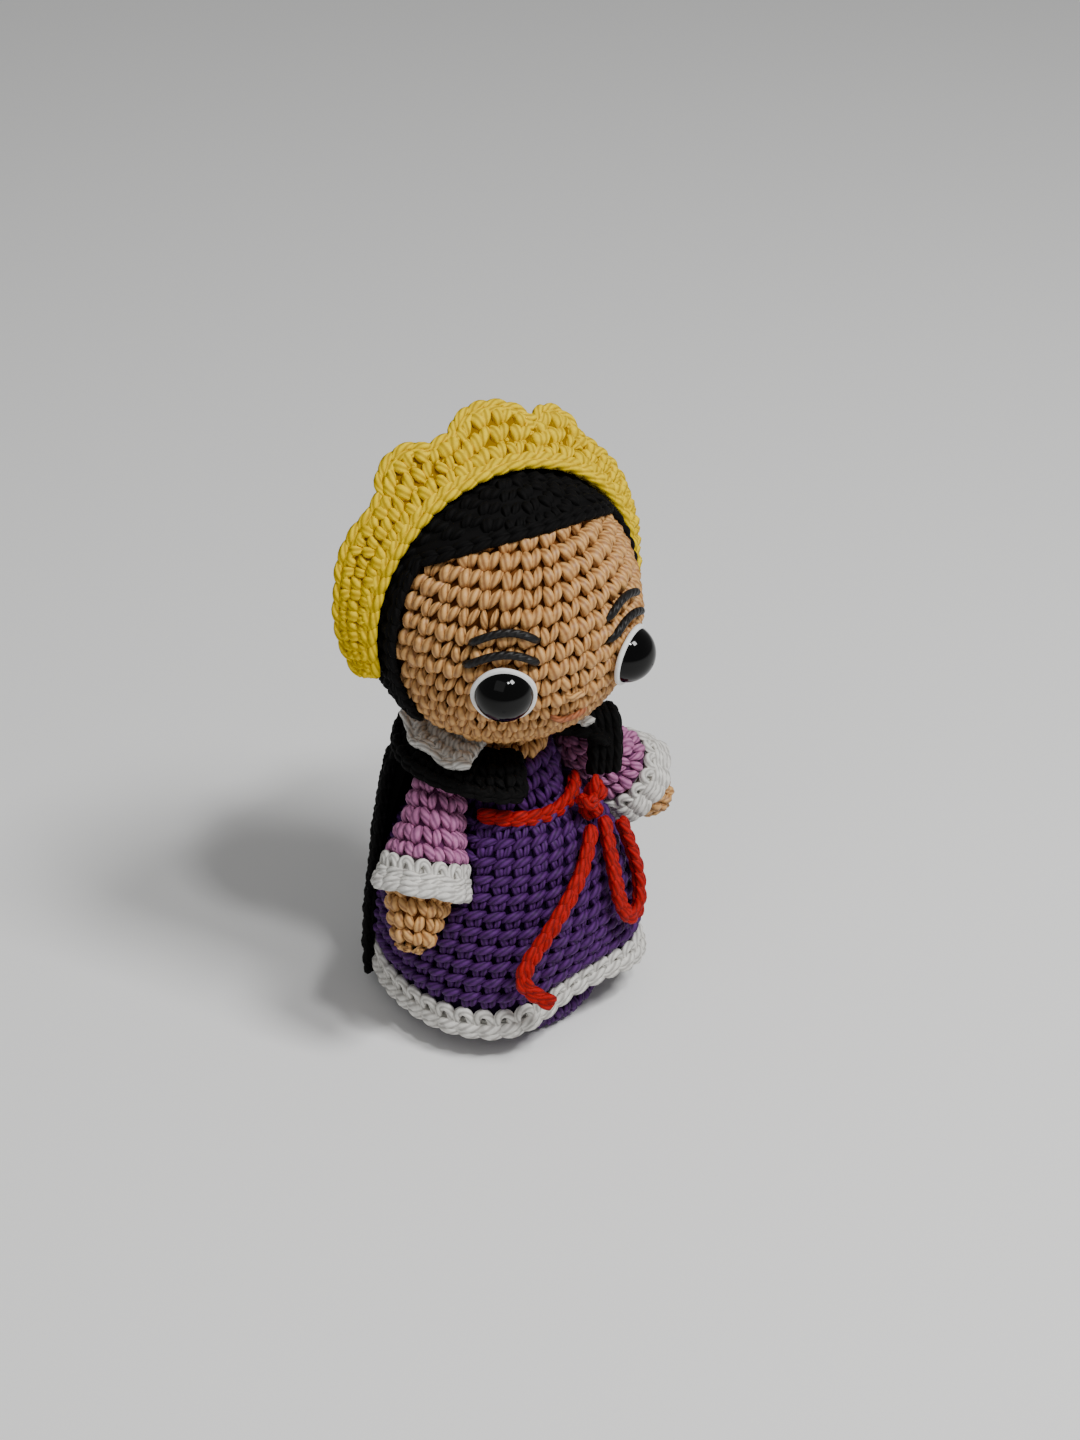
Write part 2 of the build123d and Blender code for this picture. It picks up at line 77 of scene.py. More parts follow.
def linear(code):
    """An sRGB hex colour as linear RGBA."""
    c = np.array([int(code[i:i + 2], 16) for i in (1, 3, 5)]) / 255
    return (*np.where(c <= 0.04045, c / 12.92, ((c + 0.055) / 1.055) ** 2.4), 1.0)


def node(tree, kind, values=None, **settings):
    """Adds a shader node. Values are for its sockets: an output is linked and anything else is set."""
    made = tree.nodes.new("ShaderNode" + kind)
    for key, value in settings.items():
        setattr(made, key, value)
    for key, value in (values or {}).items():
        if isinstance(value, bpy.types.NodeSocket):
            tree.links.new(value, made.inputs[key])
        else:
            made.inputs[key].default_value = value
    return made


def plain(name, colour, roughness, **more):
    """A material of one colour. More are other inputs of its Principled BSDF."""
    material = bpy.data.materials.new(name)
    material.use_nodes = True
    shader = material.node_tree.nodes["Principled BSDF"]
    shader.inputs["Base Color"].default_value = linear(colour)
    shader.inputs["Roughness"].default_value = roughness
    for key, value in more.items():
        shader.inputs[key.replace("_", " ")].default_value = value
    return material


def grained(name, colour, roughness, scale, depth, **more):
    """plain() with a faint mottle in its tone and a fine grain, depth metres deep at a scale per metre."""
    material = plain(name, colour, roughness, **more)
    tree = material.node_tree
    shader = tree.nodes["Principled BSDF"]
    place = node(tree, "TexCoord").outputs["Object"]
    grain = node(tree, "TexNoise", {"Vector": place, "Scale": scale, "Detail": 4.0}).outputs[0]
    levels = {"Value": grain, "From Min": 0.3, "From Max": 0.7, "To Min": 0.88, "To Max": 1.0}
    tone = node(tree, "MapRange", levels).outputs[0]
    tint = node(tree, "HueSaturation", {"Color": linear(colour), "Value": tone}).outputs[0]
    bump = node(tree, "Bump", {"Height": grain, "Strength": 0.4, "Distance": depth}).outputs[0]
    tree.links.new(tint, shader.inputs["Base Color"])
    tree.links.new(bump, shader.inputs["Normal"])
    return material


floor_mesh = bpy.data.meshes.new("floor")
floor_mesh.from_pydata([(-3, -3, 0), (3, -3, 0), (3, 3, 0), (-3, 3, 0)], [], [(0, 1, 2, 3)])
floor_mesh.materials.append(plain("studio_floor", "#F4F4F3", 0.9))
floor = bpy.data.objects.new("floor", floor_mesh)
bpy.context.scene.collection.objects.link(floor)

world = bpy.data.worlds.new("studio")
bpy.context.scene.world = world
world.use_nodes = True
world.node_tree.nodes["Background"].inputs["Color"].default_value = linear("#FFFFFF")
world.node_tree.nodes["Background"].inputs["Strength"].default_value = 0.24
# Each lamp: name, azimuth, elevation, distance in mm, size in metres, watts.
for name, turn, rise, far, size, power in (
    ("window_key", 22, 56, 620, 0.14, 3.0),
    ("window_second", -4, 60, 600, 0.05, 1.1),
    ("soft_fill", -60, 50, 900, 0.60, 0.7),
):
    lamp = bpy.data.objects.new(name, bpy.data.lights.new(name, "AREA"))
    bpy.context.scene.collection.objects.link(lamp)
    lamp.data.size, lamp.data.energy = size, power
    turn, rise = radians(turn), radians(rise)
    lamp.location = (
        far / 1000 * sin(turn) * cos(rise),
        -far / 1000 * cos(turn) * cos(rise),
        0.05 + far / 1000 * sin(rise),
    )
    lamp.rotation_euler = (pi / 2 - rise, 0, turn)

# ---- Sash tails: the belt's loose ends, red acrylic yarn worked as a chain-stitch cord ----
# Each lies on the skirt. The right one hangs straight and turns up its tip; the left one hangs in a loop.
# A chain's links are Vs of yarn, each starting inside the one before, over a core.
TAIL_ROUTES = {
    "sash_tail_right": [
        (5.0, -14.5, 34.5), (2.4, -16.8, 31.3), (-1.6, -18.3, 27.3), (-5.8, -18.8, 23.0),
        (-9.9, -18.5, 18.6), (-10.6, -19.0, 15.1), (-6.5, -20.7, 11.9),
    ],
    "sash_tail_left": [
        (7.7, -13.9, 34.6), (7.3, -15.6, 31.0), (7.1, -17.4, 27.0), (7.0, -18.8, 22.8),
        (8.4, -19.3, 19.4), (12.0, -17.5, 19.2), (13.7, -15.1, 22.8), (13.3, -13.5, 27.2),
        (12.3, -12.2, 31.4),
    ],
}
LINK_LONG, LINK_R = 2.3, 0.66
FULL_TURN = 2 * pi


def unit(v):
    return v / np.maximum(np.linalg.norm(v, axis=-1, keepdims=True), 1e-9)


def forms(rings, start, end):
    """Closed bodies from rings of points [bodies, rings, around, 3] and the points that close their ends.

    Returns points, faces with four corners, faces with three, and each face corner's UV: u is the
    distance along the body and v is the share of a turn round it."""
    n, m, q, _ = rings.shape
    step = np.linalg.norm(np.diff(rings.mean(2), axis=1), axis=2)
    u = np.concatenate([np.zeros((n, 1)), np.cumsum(step, axis=1)], axis=1)
    points = np.concatenate([rings.reshape(n, m * q, 3), start[:, None], end[:, None]], axis=1)
    i, j = np.meshgrid(np.arange(m - 1), np.arange(q), indexing="ij")
    k = (j + 1) % q
    quads = np.stack([i * q + j, i * q + k, (i + 1) * q + k, (i + 1) * q + j], axis=-1).reshape(-1, 4)
    j = np.arange(q)
    k = (j + 1) % q
    low = np.stack([np.full(q, m * q), k, j], axis=-1)
    high = np.stack([np.full(q, m * q + 1), (m - 1) * q + j, (m - 1) * q + k], axis=-1)
    tris = np.concatenate([low, high])
    jump = (np.arange(n) * (m * q + 2))[:, None, None]
    v0, v1 = j / q, (j + 1) / q
    shape = (n, m - 1, q)
    uv4 = np.stack([
        np.broadcast_to(np.stack(np.broadcast_arrays(u[:, r, None], v[None, None]), -1), shape + (2,))
        for r, v in ((slice(0, -1), v0), (slice(0, -1), v1), (slice(1, None), v1), (slice(1, None), v0))
    ], axis=-2)
    uv3 = np.zeros((n, 2 * q, 3, 2))
    uv3[:, :q, :, 0], uv3[:, q:, :, 0] = u[:, :1, None], u[:, -1:, None]
    uv3[:, :, :, 1] = np.stack([np.tile(v0, 2), np.tile(v1, 2), np.tile(v0, 2)], axis=-1)
    return (
        points.reshape(-1, 3), (quads + jump).reshape(-1, 4), (tris + jump).reshape(-1, 3),
        uv4.reshape(-1, 2), uv3.reshape(-1, 2),
    )


def tubes(paths, radii, outwards, sides=7):
    """Closed tubes of yarn round paths [tubes, points, 3]: circles square to the path, with rounded ends."""
    tangent = unit(np.gradient(paths, axis=1))
    side = unit(np.cross(tangent, outwards))
    up = np.cross(side, tangent)
    turn = -2 * pi * np.arange(sides)[:, None] / sides
    round_ = np.cos(turn) * side[:, :, None] + np.sin(turn) * up[:, :, None]
    rings = paths[:, :, None] + radii[:, :, None, None] * round_
    start = paths[:, 0] - tangent[:, 0] * radii[:, :1] * 0.5
    end = paths[:, -1] + tangent[:, -1] * radii[:, -1:] * 0.5
    return forms(rings, start, end)


def chain(line, outwards, pitch, r, spread, back=True, points=7):
    """A row of chain stitches along a line: two leaning legs to a link, and a bump behind them."""
    gone = np.concatenate([[0], np.cumsum(np.linalg.norm(np.diff(line, axis=0), axis=1))])
    links = max(1, round(gone[-1] / pitch))
    pitch = gone[-1] / links
    t = np.linspace(0, 1, points)
    s = np.arange(links)[:, None] * pitch + pitch * (1.3 * t - 0.15)
    s = np.clip(s, 0, gone[-1])

    def at(values):
        return np.stack([np.interp(s, gone, values[:, k]) for k in range(3)], axis=-1)

    place, out = at(line), unit(at(outwards))
    tangent = unit(at(np.gradient(line, axis=0)))
    side = unit(np.cross(tangent, out))
    swell = r * (0.72 + 0.34 * np.sin(pi * t))
    lift = r * (0.55 * np.sin(pi * t) - 0.15)
    legs = [
        place + side * (way * spread * (0.3 + 0.75 * np.sin(pi * t * 0.62)))[:, None] + out * lift[:, None]
        for way in (-1, 1)
    ]
    if back:
        legs.append(place - out * (0.8 * spread * np.ones(points))[:, None])
    count = len(legs)
    return tubes(np.concatenate(legs), np.tile(swell, (count * links, 1)), np.concatenate([out] * count))


def yarn(name, colour, deep, ply_turn=0.55, gloss=0.62, sheen=0.25, glint=0.25):
    """Plied acrylic yarn. Four plies turn round the strand: v times 4 plus u times the turns per mm.

    The colour goes from deep in the grooves between plies to full on their tops, a painted shade in the grooves,
    with a faint mottle that varies the tone at random."""
    material = bpy.data.materials.new(name)
    material.use_nodes = True
    tree = material.node_tree
    uv = node(tree, "UVMap", uv_map="yarn").outputs["UV"]
    part = node(tree, "SeparateXYZ", {0: uv})
    turns = node(tree, "Math", {0: part.outputs["X"], 1: ply_turn}, operation="MULTIPLY").outputs[0]
    phase = node(tree, "Math", {0: part.outputs["Y"], 1: 4.0, 2: turns}, operation="MULTIPLY_ADD").outputs[0]
    angle = node(tree, "Math", {0: phase, 1: 2 * pi}, operation="MULTIPLY").outputs[0]
    wave = node(tree, "Math", {0: angle}, operation="SINE").outputs[0]
    ply = node(tree, "Math", {0: wave, 1: 0.5, 2: 0.5}, operation="MULTIPLY_ADD").outputs[0]
    place = node(tree, "TexCoord").outputs["Object"]
    mottle = node(tree, "TexNoise", {"Vector": place, "Scale": 900.0, "Detail": 3.0}).outputs[0]
    fibre = node(tree, "TexNoise", {"Vector": place, "Scale": 5200.0, "Detail": 2.0}).outputs[0]
    patch = node(tree, "MapRange", {"Value": mottle, "From Min": 0.25, "From Max": 0.6, "To Min": 0.55})
    full = node(tree, "Mix", {0: patch.outputs[0], 6: linear(deep), 7: linear(colour)}, data_type="RGBA")
    # Painted shade: the grooves between the plies are mixed towards the deep colour, as if shade lay in them.
    shade = node(tree, "MapRange", {"Value": ply, "From Min": 0.0, "From Max": 0.55, "To Min": 0.35, "To Max": 1.0})
    tint = node(tree, "Mix", {0: shade.outputs[0], 6: linear(deep), 7: full.outputs[2]}, data_type="RGBA")
    bump = node(tree, "Bump", {"Height": ply, "Strength": 0.6, "Distance": 0.00016})
    fluff = node(tree, "Bump", {"Height": fibre, "Strength": 0.35, "Distance": 0.00008, "Normal": bump.outputs[0]})
    shader = tree.nodes["Principled BSDF"]
    tree.links.new(tint.outputs[2], shader.inputs["Base Color"])
    tree.links.new(fluff.outputs[0], shader.inputs["Normal"])
    shader.inputs["Roughness"].default_value = gloss
    shader.inputs["Specular IOR Level"].default_value = glint
    shader.inputs["Sheen Weight"].default_value = sheen
    shader.inputs["Sheen Roughness"].default_value = 0.5
    shader.inputs["Sheen Tint"].default_value = linear(colour)
    return material


def under(material, colour):
    """The same yarn's fabric between and under the stitches: matt, and painted darker as shade for the shadow that
    fills it.
    """
    return grained(material.name + "_backing_painted_shade", colour, 0.95, 1500.0, 0.0001, Specular_IOR_Level=0.05)


def solid(name, layers, body, stands_for=()):
    """One mesh object from layers of (shape, material), riding on a body in place of CAD nodes."""
    mesh = bpy.data.meshes.new(name)
    corners, sizes, uvs, finish, points, base = [], [], [], [], [], 0
    for (place, quads, tris, uv4, uv3), material in layers:
        index = mesh.materials.find(material.name)
        if index < 0:
            mesh.materials.append(material)
            index = len(mesh.materials) - 1
        points.append(place)
        corners += [(quads + base).ravel(), (tris + base).ravel()]
        sizes += [np.full(len(quads), 4), np.full(len(tris), 3)]
        uvs += [uv4, uv3]
        finish.append(np.full(len(quads) + len(tris), index))
        base += len(place)
    corners, sizes, finish = np.concatenate(corners), np.concatenate(sizes), np.concatenate(finish)
    mesh.vertices.add(base)
    mesh.loops.add(len(corners))
    mesh.polygons.add(len(sizes))
    mesh.vertices.foreach_set("co", (np.concatenate(points) / 1000).astype(np.float32).ravel())
    mesh.loops.foreach_set("vertex_index", corners.astype(np.int32))
    mesh.polygons.foreach_set("loop_start", (np.cumsum(sizes) - sizes).astype(np.int32))
    mesh.polygons.foreach_set("material_index", finish.astype(np.int32))
    mesh.polygons.foreach_set("use_smooth", np.ones(len(sizes), bool))
    mesh.uv_layers.new(name="yarn").data.foreach_set("uv", np.concatenate(uvs).astype(np.float32).ravel())
    mesh.update(calc_edges=True)
    made = bpy.data.objects.new(name, mesh)
    bpy.context.scene.collection.objects.link(made)
    if body:
        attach(made, body)
    if stands_for:
        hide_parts(*stands_for)
    return made


def finished(name, material):
    """Gives a CAD piece that is shown as it is its finish."""
    nodes[name].data.materials.clear()
    nodes[name].data.materials.append(material)


# Red acrylic yarn, matt, with the plies just showing.
red_yarn = yarn("red_acrylic_yarn", "#B00602", "#480100", gloss=0.75, sheen=0.05)

for name, route in TAIL_ROUTES.items():
    curve = bpy.data.curves.new(name + "_line", "CURVE")
    curve.dimensions, curve.resolution_u = "3D", 24
    spline = curve.splines.new("NURBS")
    spline.points.add(len(route) - 1)
    for point, place in zip(spline.points, route):
        point.co = (*(x / 1000 for x in place), 1)
    spline.order_u, spline.use_endpoint_u = 3, True
    guide = bpy.data.objects.new(name + "_line", curve)
    made = bpy.data.meshes.new_from_object(guide)
    line = np.array([v.co for v in made.vertices]) * 1000
    bpy.data.meshes.remove(made)
    bpy.data.objects.remove(guide)
    bpy.data.curves.remove(curve)
    outwards = unit(line * (1, 1, 0) + (0, 0, 4))
    core = tubes(line[None], np.full((1, len(line)), 0.78), outwards[None], sides=10)
    links = chain(line, outwards, LINK_LONG, LINK_R, 0.62)
    tail = solid(name + "_cord", [(core, red_yarn), (links, red_yarn)], "body", [name])

# ---- Head: a ball of tan acrylic yarn in single crochet, stuffed ----
# It is worked in rounds, 41 stitches at the widest. Each stitch is a V of two legs that come out of the
# stitch below and spread to its sides. Only the stitches that the hair leaves bare are made.
HEAD_R, HEAD_Z, HEAD_YAW = 19.5, 66.4, radians(-5)
ROW_HIGH, STITCH_WIDE = 2.65, 3.0
FACE_HALF, FACE_TOP, FACE_BACK, HAIR_LOW, ARCH = 21.0, 16.9, -2.8, -12.0, 2.2
dice = np.random.default_rng(7)


def on(surface, a, b, lift):
    """Points on a surface of (a, b), moved out along its normal by lift, and the normals."""
    e = 1e-3
    place = surface(a, b)
    out = unit(np.cross(surface(a + e, b) - place, surface(a, b + e) - place))
    return place + out * np.asarray(lift)[..., None], out


def rounds(high, rings, wide, low):
    """Stitch places in even rounds of a surface: a, b and their sizes. rings(b) is the radius there.

    Each round is moved on by a third of a stitch from the one below, as work in a spiral is."""
    rows = max(1, round((high - low) / wide[1]))
    edges = np.linspace(low, high, rows + 1)
    found = []
    for k, (b0, b1) in enumerate(zip(edges, edges[1:])):
        middle = (b0 + b1) / 2
        count = max(4, round(abs(rings(middle)) * FULL_TURN / wide[0]))
        a = FULL_TURN * (np.arange(count) + 0.5 + k / 3 % 1) / count
        sizes = np.full(count, FULL_TURN / count), np.full(count, b1 - b0)
        found.append(np.stack([a, np.full(count, middle), *sizes]))
    return np.concatenate(found, axis=1)


def vees(surface, places, r, lean=0.26, flip=1, spread=0.34, proud=0.0, points=7, sides=7):
    """The two legs of each stitch as tubes of yarn, on the surface that the yarn's middle follows.

    The leg on the side it leans from is the fatter, as the hook pulls it up.
    Across, a leg goes from the stitch's middle to its side; along, from under the stitch below to under
    the one above; and it rises and sinks again by a half sine."""
    a, b, da, db = places
    t = np.linspace(0, 1, points)
    loose = 1 + 0.11 * dice.standard_normal((len(a), 1))
    tilt = lean + 0.11 * dice.standard_normal((len(a), 1))
    paths, outs = [], []
    for way in (-1, 1):
        x = way * (0.12 + (spread - 0.12) * t) + tilt * (t - 0.5)
        y = flip * (0.92 * t - 0.46 + 0.05 * way)
        lift = proud + r * (-1.3 + 1.4 * np.sin(pi * np.clip(t, 0.02, 0.98)) ** 0.7) * loose
        place, out = on(surface, a[:, None] + da[:, None] * x, b[:, None] + db[:, None] * y, lift)
        paths.append(place)
        outs.append(out)
    fat = np.concatenate([1.08 * loose, 0.92 * loose])
    radii = np.tile(r * (0.60 + 0.56 * np.sin(pi * t)), (2 * len(a), 1)) * fat
    return tubes(np.concatenate(paths), radii, np.concatenate(outs), sides)


def bars(surface, places, r, proud, points=6, sides=7):
    """The loop that lies across the top of each stitch, slanting into the next one's."""
    a, b, da, db = places
    t = np.linspace(0, 1, points)
    x, y = 1.10 * t - 0.55, 0.36 * t - 0.18 + 0.10 * np.sin(pi * t)
    lift = proud + r * (1.25 * np.sin(pi * t) - 1.1)
    place, out = on(surface, a[:, None] + da[:, None] * x, b[:, None] + db[:, None] * y, lift)
    return tubes(place, np.tile(r * (0.7 + 0.35 * np.sin(pi * t)), (len(a), 1)), out, sides)


def filled(surface, b, around=72, sink=1.0):
    """The closed fabric under the stitches: the surface itself, sunk, with both its ends closed."""
    a = np.linspace(0, FULL_TURN, around, endpoint=False)
    rings, _ = on(surface, *np.meshgrid(a, b), -sink)
    return forms(rings[None], rings[:1].mean(1), rings[-1:].mean(1))


def ball(centre, radius):
    """A sphere: a is the azimuth and b the distance up from its equator, along the surface."""
    def surface(a, b):
        rise = np.broadcast_to(b / radius, np.broadcast(a, b).shape)
        flat = radius * np.cos(rise)
        return np.stack([flat * np.sin(a), -flat * np.cos(a), radius * np.sin(rise)], axis=-1) + centre
    return surface


def in_head(place):
    """Points in the head's own frame, turned with the face and measured from its centre."""
    x, y, z = np.moveaxis(place - HEAD_CENTRE, -1, 0)
    return np.stack([x * cos(HEAD_YAW) + y * sin(HEAD_YAW), y * cos(HEAD_YAW) - x * sin(HEAD_YAW), z], axis=-1)


def from_head(place):
    """The way back from the head's own frame."""
    x, y, z = np.moveaxis(place, -1, 0)
    turned_back = [x * cos(HEAD_YAW) - y * sin(HEAD_YAW), x * sin(HEAD_YAW) + y * cos(HEAD_YAW), z]
    return np.stack(turned_back, axis=-1) + HEAD_CENTRE


def haired(place, margin):
    """Whether a point is under the hair by more than the margin: outside the arch of the face."""
    x, y, z = np.moveaxis(in_head(place), -1, 0)
    arch = (np.abs(x) / (FACE_HALF + margin)) ** ARCH + (np.maximum(z, 0) / (FACE_TOP + margin)) ** ARCH > 1
    return (z > HAIR_LOW + margin) & ((y > FACE_BACK + margin) | arch)


# Tan acrylic yarn with a soft shine on its plies.
skin_yarn = yarn("tan_acrylic_yarn", "#D6A464", "#70380F", gloss=0.5, glint=0.4, sheen=0.1)
# Painted shade: the tan fabric under the stitches is coloured dark brown for the shadow between them.
skin_painted_shade = under(skin_yarn, "#6E3F1A")

SKIN_R = 0.68
head_surface = ball(HEAD_CENTRE, HEAD_R - SKIN_R)
places = rounds(27.5, lambda b: HEAD_R * np.cos(b / HEAD_R), (STITCH_WIDE, ROW_HIGH), low=-25.5)
bare = ~haired(head_surface(places[0], places[1]), 0.6)
head_form = filled(head_surface, np.linspace(-26, 28.5, 40), sink=0.9)
head = solid(
    "head_skin", [(head_form, skin_painted_shade), (vees(head_surface, places[:, bare], SKIN_R), skin_yarn)],
    "head", ["head_shell"],
)

# ---- Hair: a thin cap of black acrylic yarn in single crochet, with a chained edge along the hairline ----
# The hairline is a plain even arch, and the sides end level at the ears.
# The edge goes round the face opening in polar steps about the line of sight of the face.
HAIR_R, BLACK_R = 20.4, 0.62
black_yarn = yarn("black_acrylic_yarn", "#0B0A0A", "#030303", gloss=0.8, sheen=0.02, glint=0.10)
hair_surface = ball(HEAD_CENTRE, HAIR_R - BLACK_R)
places = rounds(30.5, lambda b: HAIR_R * np.cos(b / HAIR_R), (3.2, 2.7), low=-11.4)
covered = haired(hair_surface(places[0], places[1]), 0.5)
hair_vees = vees(hair_surface, places[:, covered], BLACK_R)


def hair_edge(turn, radius):
    """The cap's edge in the head's frame: the arch over the face, then down the sides and level behind.

    turn goes round the opening: 0 is the doll's left, a quarter the top."""
    side = radius**2 - FACE_BACK**2
    arch = (np.abs(np.cos(turn)) / FACE_HALF) ** ARCH + (np.abs(np.sin(turn)) / FACE_TOP) ** ARCH
    rim = np.minimum(arch ** (-1 / ARCH), np.sqrt(side))
    rim = np.where(np.sin(turn) > 0, rim, np.sqrt(side))
    x, z = rim * np.cos(turn), rim * np.sin(turn)
    return np.stack([x, -np.sqrt(np.maximum(radius**2 - x**2 - z**2, 0)), z], axis=-1)


drop = np.arcsin(-HAIR_LOW / np.sqrt((HAIR_R - BLACK_R) ** 2 - FACE_BACK**2))
front = hair_edge(np.linspace(-drop, pi + drop, 220), HAIR_R - BLACK_R)
low_flat = np.hypot(front[0, 0], front[0, 1])
ends = np.arctan2(front[[-1, 0], 1], front[[-1, 0], 0])
behind_turn = np.linspace(ends[0] % FULL_TURN, ends[1] % FULL_TURN - FULL_TURN, 160)[1:-1]
behind_low = np.full(behind_turn.shape, HAIR_LOW)
behind = np.stack([low_flat * np.cos(behind_turn), low_flat * np.sin(behind_turn), behind_low], axis=-1)
loop = from_head(np.concatenate([front, behind, front[:1]]))
hair_rim = chain(loop, unit(loop - HEAD_CENTRE), 2.5, 0.6, 0.5, back=False)

# The cap's fabric: polar lines from the middle of its back out to its edge.
share = np.linspace(0.02, 1, 24)
pole = unit(np.array([0.0, 1.0, 0.35]))
edge_way = unit(in_head(loop[:-1]))
angle = np.arccos(np.clip(edge_way @ pole, -1, 1))
swing = share[:, None] * angle[None]
flat = unit(edge_way - (edge_way @ pole)[:, None] * pole)
cap = np.cos(swing)[..., None] * pole + np.sin(swing)[..., None] * flat[None]
outer, inner = from_head(cap * (HAIR_R - 0.55)), from_head(cap * (HAIR_R - 1.0))
cap_rings = np.concatenate([outer, inner[::-1]])
hair_form = forms(cap_rings[None], outer[:1].mean(1), inner[:1].mean(1))
solid(
    "hair_knit", [(hair_form, black_yarn), (hair_vees, black_yarn), (hair_rim, black_yarn)],
    "head", ["hair_cap"],
)

# ---- Crown: a tiara-like band of yellow acrylic yarn that stands up over the hair ----
# A neat chained rim runs along its front. Behind it are rows of chunky stitches, and shells along the back edge.
# It leans outwards as it goes back. a is the turn from the top and b the distance back from the rim.
CROWN_R, CROWN_Y, CROWN_LEAN, CROWN_END = 20.7, 0.4, radians(35), 104.0
CROWN_WALL, YELLOW_R = 1.8, 0.72
yellow_yarn = yarn("yellow_acrylic_yarn", "#EDCC00", "#957000", gloss=0.75, sheen=0.0, glint=0.1)
# Painted shade: the crown's inner form is coloured dark yellow for the shadow between its stitches.
yellow_painted_shade = under(yellow_yarn, "#8A6600")


def crown_wide(a):
    """How wide the band is: least at its ends, with a rounded shell at the top and each side of it."""
    turn = np.abs(np.degrees(a))
    band = np.interp(turn, [0, 20, 40, 50, 70, 80, 91, 104], [6.8, 6.6, 6.1, 5.4, 5.2, 4.7, 3.7, 1.8])
    shells = sum(
        tall * np.clip(1 - ((np.degrees(a) - at) / half) ** 2, 0, 1) ** 0.6
        for at, half, tall in ((3, 13, 2.7), (-30, 9, 2.5), (28, 8, 2.7), (-59, 11, 0.8), (57, 10, 0.8))
    )
    return band + shells


def crown_surface(depth, inside=False):
    """The crown's wall, depth in from its outer face. b runs from 0 at the rim to 1 at the back edge."""
    def surface(a, b):
        turn = -a if inside else a
        wide = b * crown_wide(turn)
        off = CROWN_WALL - depth
        reach = CROWN_R + sin(CROWN_LEAN) * wide + cos(CROWN_LEAN) * off
        back = CROWN_Y + cos(CROWN_LEAN) * wide - sin(CROWN_LEAN) * off
        place = np.broadcast_arrays(reach * np.sin(turn), back, reach * np.cos(turn))
        return from_head(np.stack(place, axis=-1))
    return surface


def crown_places():
    """Rows of stitches that get taller where the band is wide, from just behind the rim."""
    found = []
    rows = np.array([0.10, 0.40, 0.70, 0.97])
    for k, (b0, b1) in enumerate(zip(rows, rows[1:])):
        count = 29 - k % 2
        a = radians(CROWN_END) * ((np.arange(count) + 0.5) / count * 2 - 1)
        sizes = np.full(count, 2 * radians(CROWN_END) / count), np.full(count, b1 - b0)
        found.append(np.stack([a, np.full(count, (b0 + b1) / 2), *sizes]))
    return np.concatenate(found, axis=1)


crown_layers = [
    (vees(crown_surface(depth, inside), crown_places(), YELLOW_R, proud=0.05), yellow_yarn)
    for depth, inside in ((YELLOW_R * 0.9, False), (CROWN_WALL - YELLOW_R * 0.2, True))
]
a_line = np.radians(np.linspace(-CROWN_END, CROWN_END, 200))
for b, thick, pitch in ((0.03, YELLOW_R, 2.6), (0.99, YELLOW_R * 0.9, 2.8)):
    line, out = on(crown_surface(CROWN_WALL / 2), a_line, np.full(200, b), np.zeros(200))
    crown_layers.append((chain(line, out, pitch, thick, 0.62), yellow_yarn))
# The inner form, in its painted-shade yellow, sinks deeper just behind the rim and shows there as a dark lip.
crown_turn = np.radians(np.linspace(-CROWN_END, CROWN_END, 120))
a_grid, b_grid = np.meshgrid(crown_turn, np.linspace(0.02, 0.98, 10))
outer, _ = on(crown_surface(0.75), a_grid, b_grid, np.zeros(a_grid.shape))
lip = 1.15 + 2.2 * np.clip(1 - b_grid / 0.15, 0, 1)
inner, _ = on(crown_surface(lip), a_grid, b_grid, np.zeros(a_grid.shape))
band = np.concatenate([outer, inner[::-1]]).swapaxes(0, 1)[:, ::-1]
crown_form = forms(band[None], band[:1].mean(1), band[-1:].mean(1))
solid("crown_knit", [(crown_form, yellow_painted_shade)] + crown_layers, "head", ["crown"])

# ---- Eyes: glossy black safety eyes, each on a disc of white felt with its washer inside the head ----
# The moulded domes and the washers are the CAD ones, with their finishes here.
eye_plastic = grained("black_polished_plastic", "#030303", 0.06, 60.0, 0.000004, Specular_IOR_Level=0.22)
washer_plastic = grained("white_polypropylene", "#E9E9E6", 0.45, 300.0, 0.00001)
white_felt = grained("white_wool_felt", "#EDEDEA", 0.95, 2500.0, 0.0001, Sheen_Weight=0.3)
FELT_R, FELT_T, EYE_LON, EYE_LAT = 4.5, 0.7, radians(31), radians(-8)
for side, way in (("right", -1), ("left", 1)):
    for part, material in (("eye_", eye_plastic), ("eye_washer_", washer_plastic)):
        finished(part + side, material)
    # The felt is cut by hand: a disc with a rounded edge that wavers a little.
    lon = way * EYE_LON + HEAD_YAW
    out = np.array([sin(lon) * cos(EYE_LAT), -cos(lon) * cos(EYE_LAT), sin(EYE_LAT)])
    across = unit(np.cross([0, 0, 1.0], out))
    turn = np.linspace(0, 2 * pi, 64, endpoint=False)
    rim = 1 + 0.012 * np.sin(5 * turn + way)
    rings = np.stack([
        HEAD_CENTRE + out * (HEAD_R + 0.1 + FELT_T * high)
        + (reach * rim * np.cos(turn))[:, None] * across
        + (reach * rim * np.sin(turn))[:, None] * np.cross(out, across)
        for reach, high in ((1.4, 0), (FELT_R - 0.2, 0), (FELT_R, 0.25), (FELT_R, 0.75), (FELT_R - 0.2, 1), (1.4, 1))
    ])
    felt = forms(rings[None], rings[:1].mean(1), rings[-1:].mean(1))
    solid("eye_felt_disc_" + side, [(felt, white_felt)], "head", ["eye_felt_" + side])

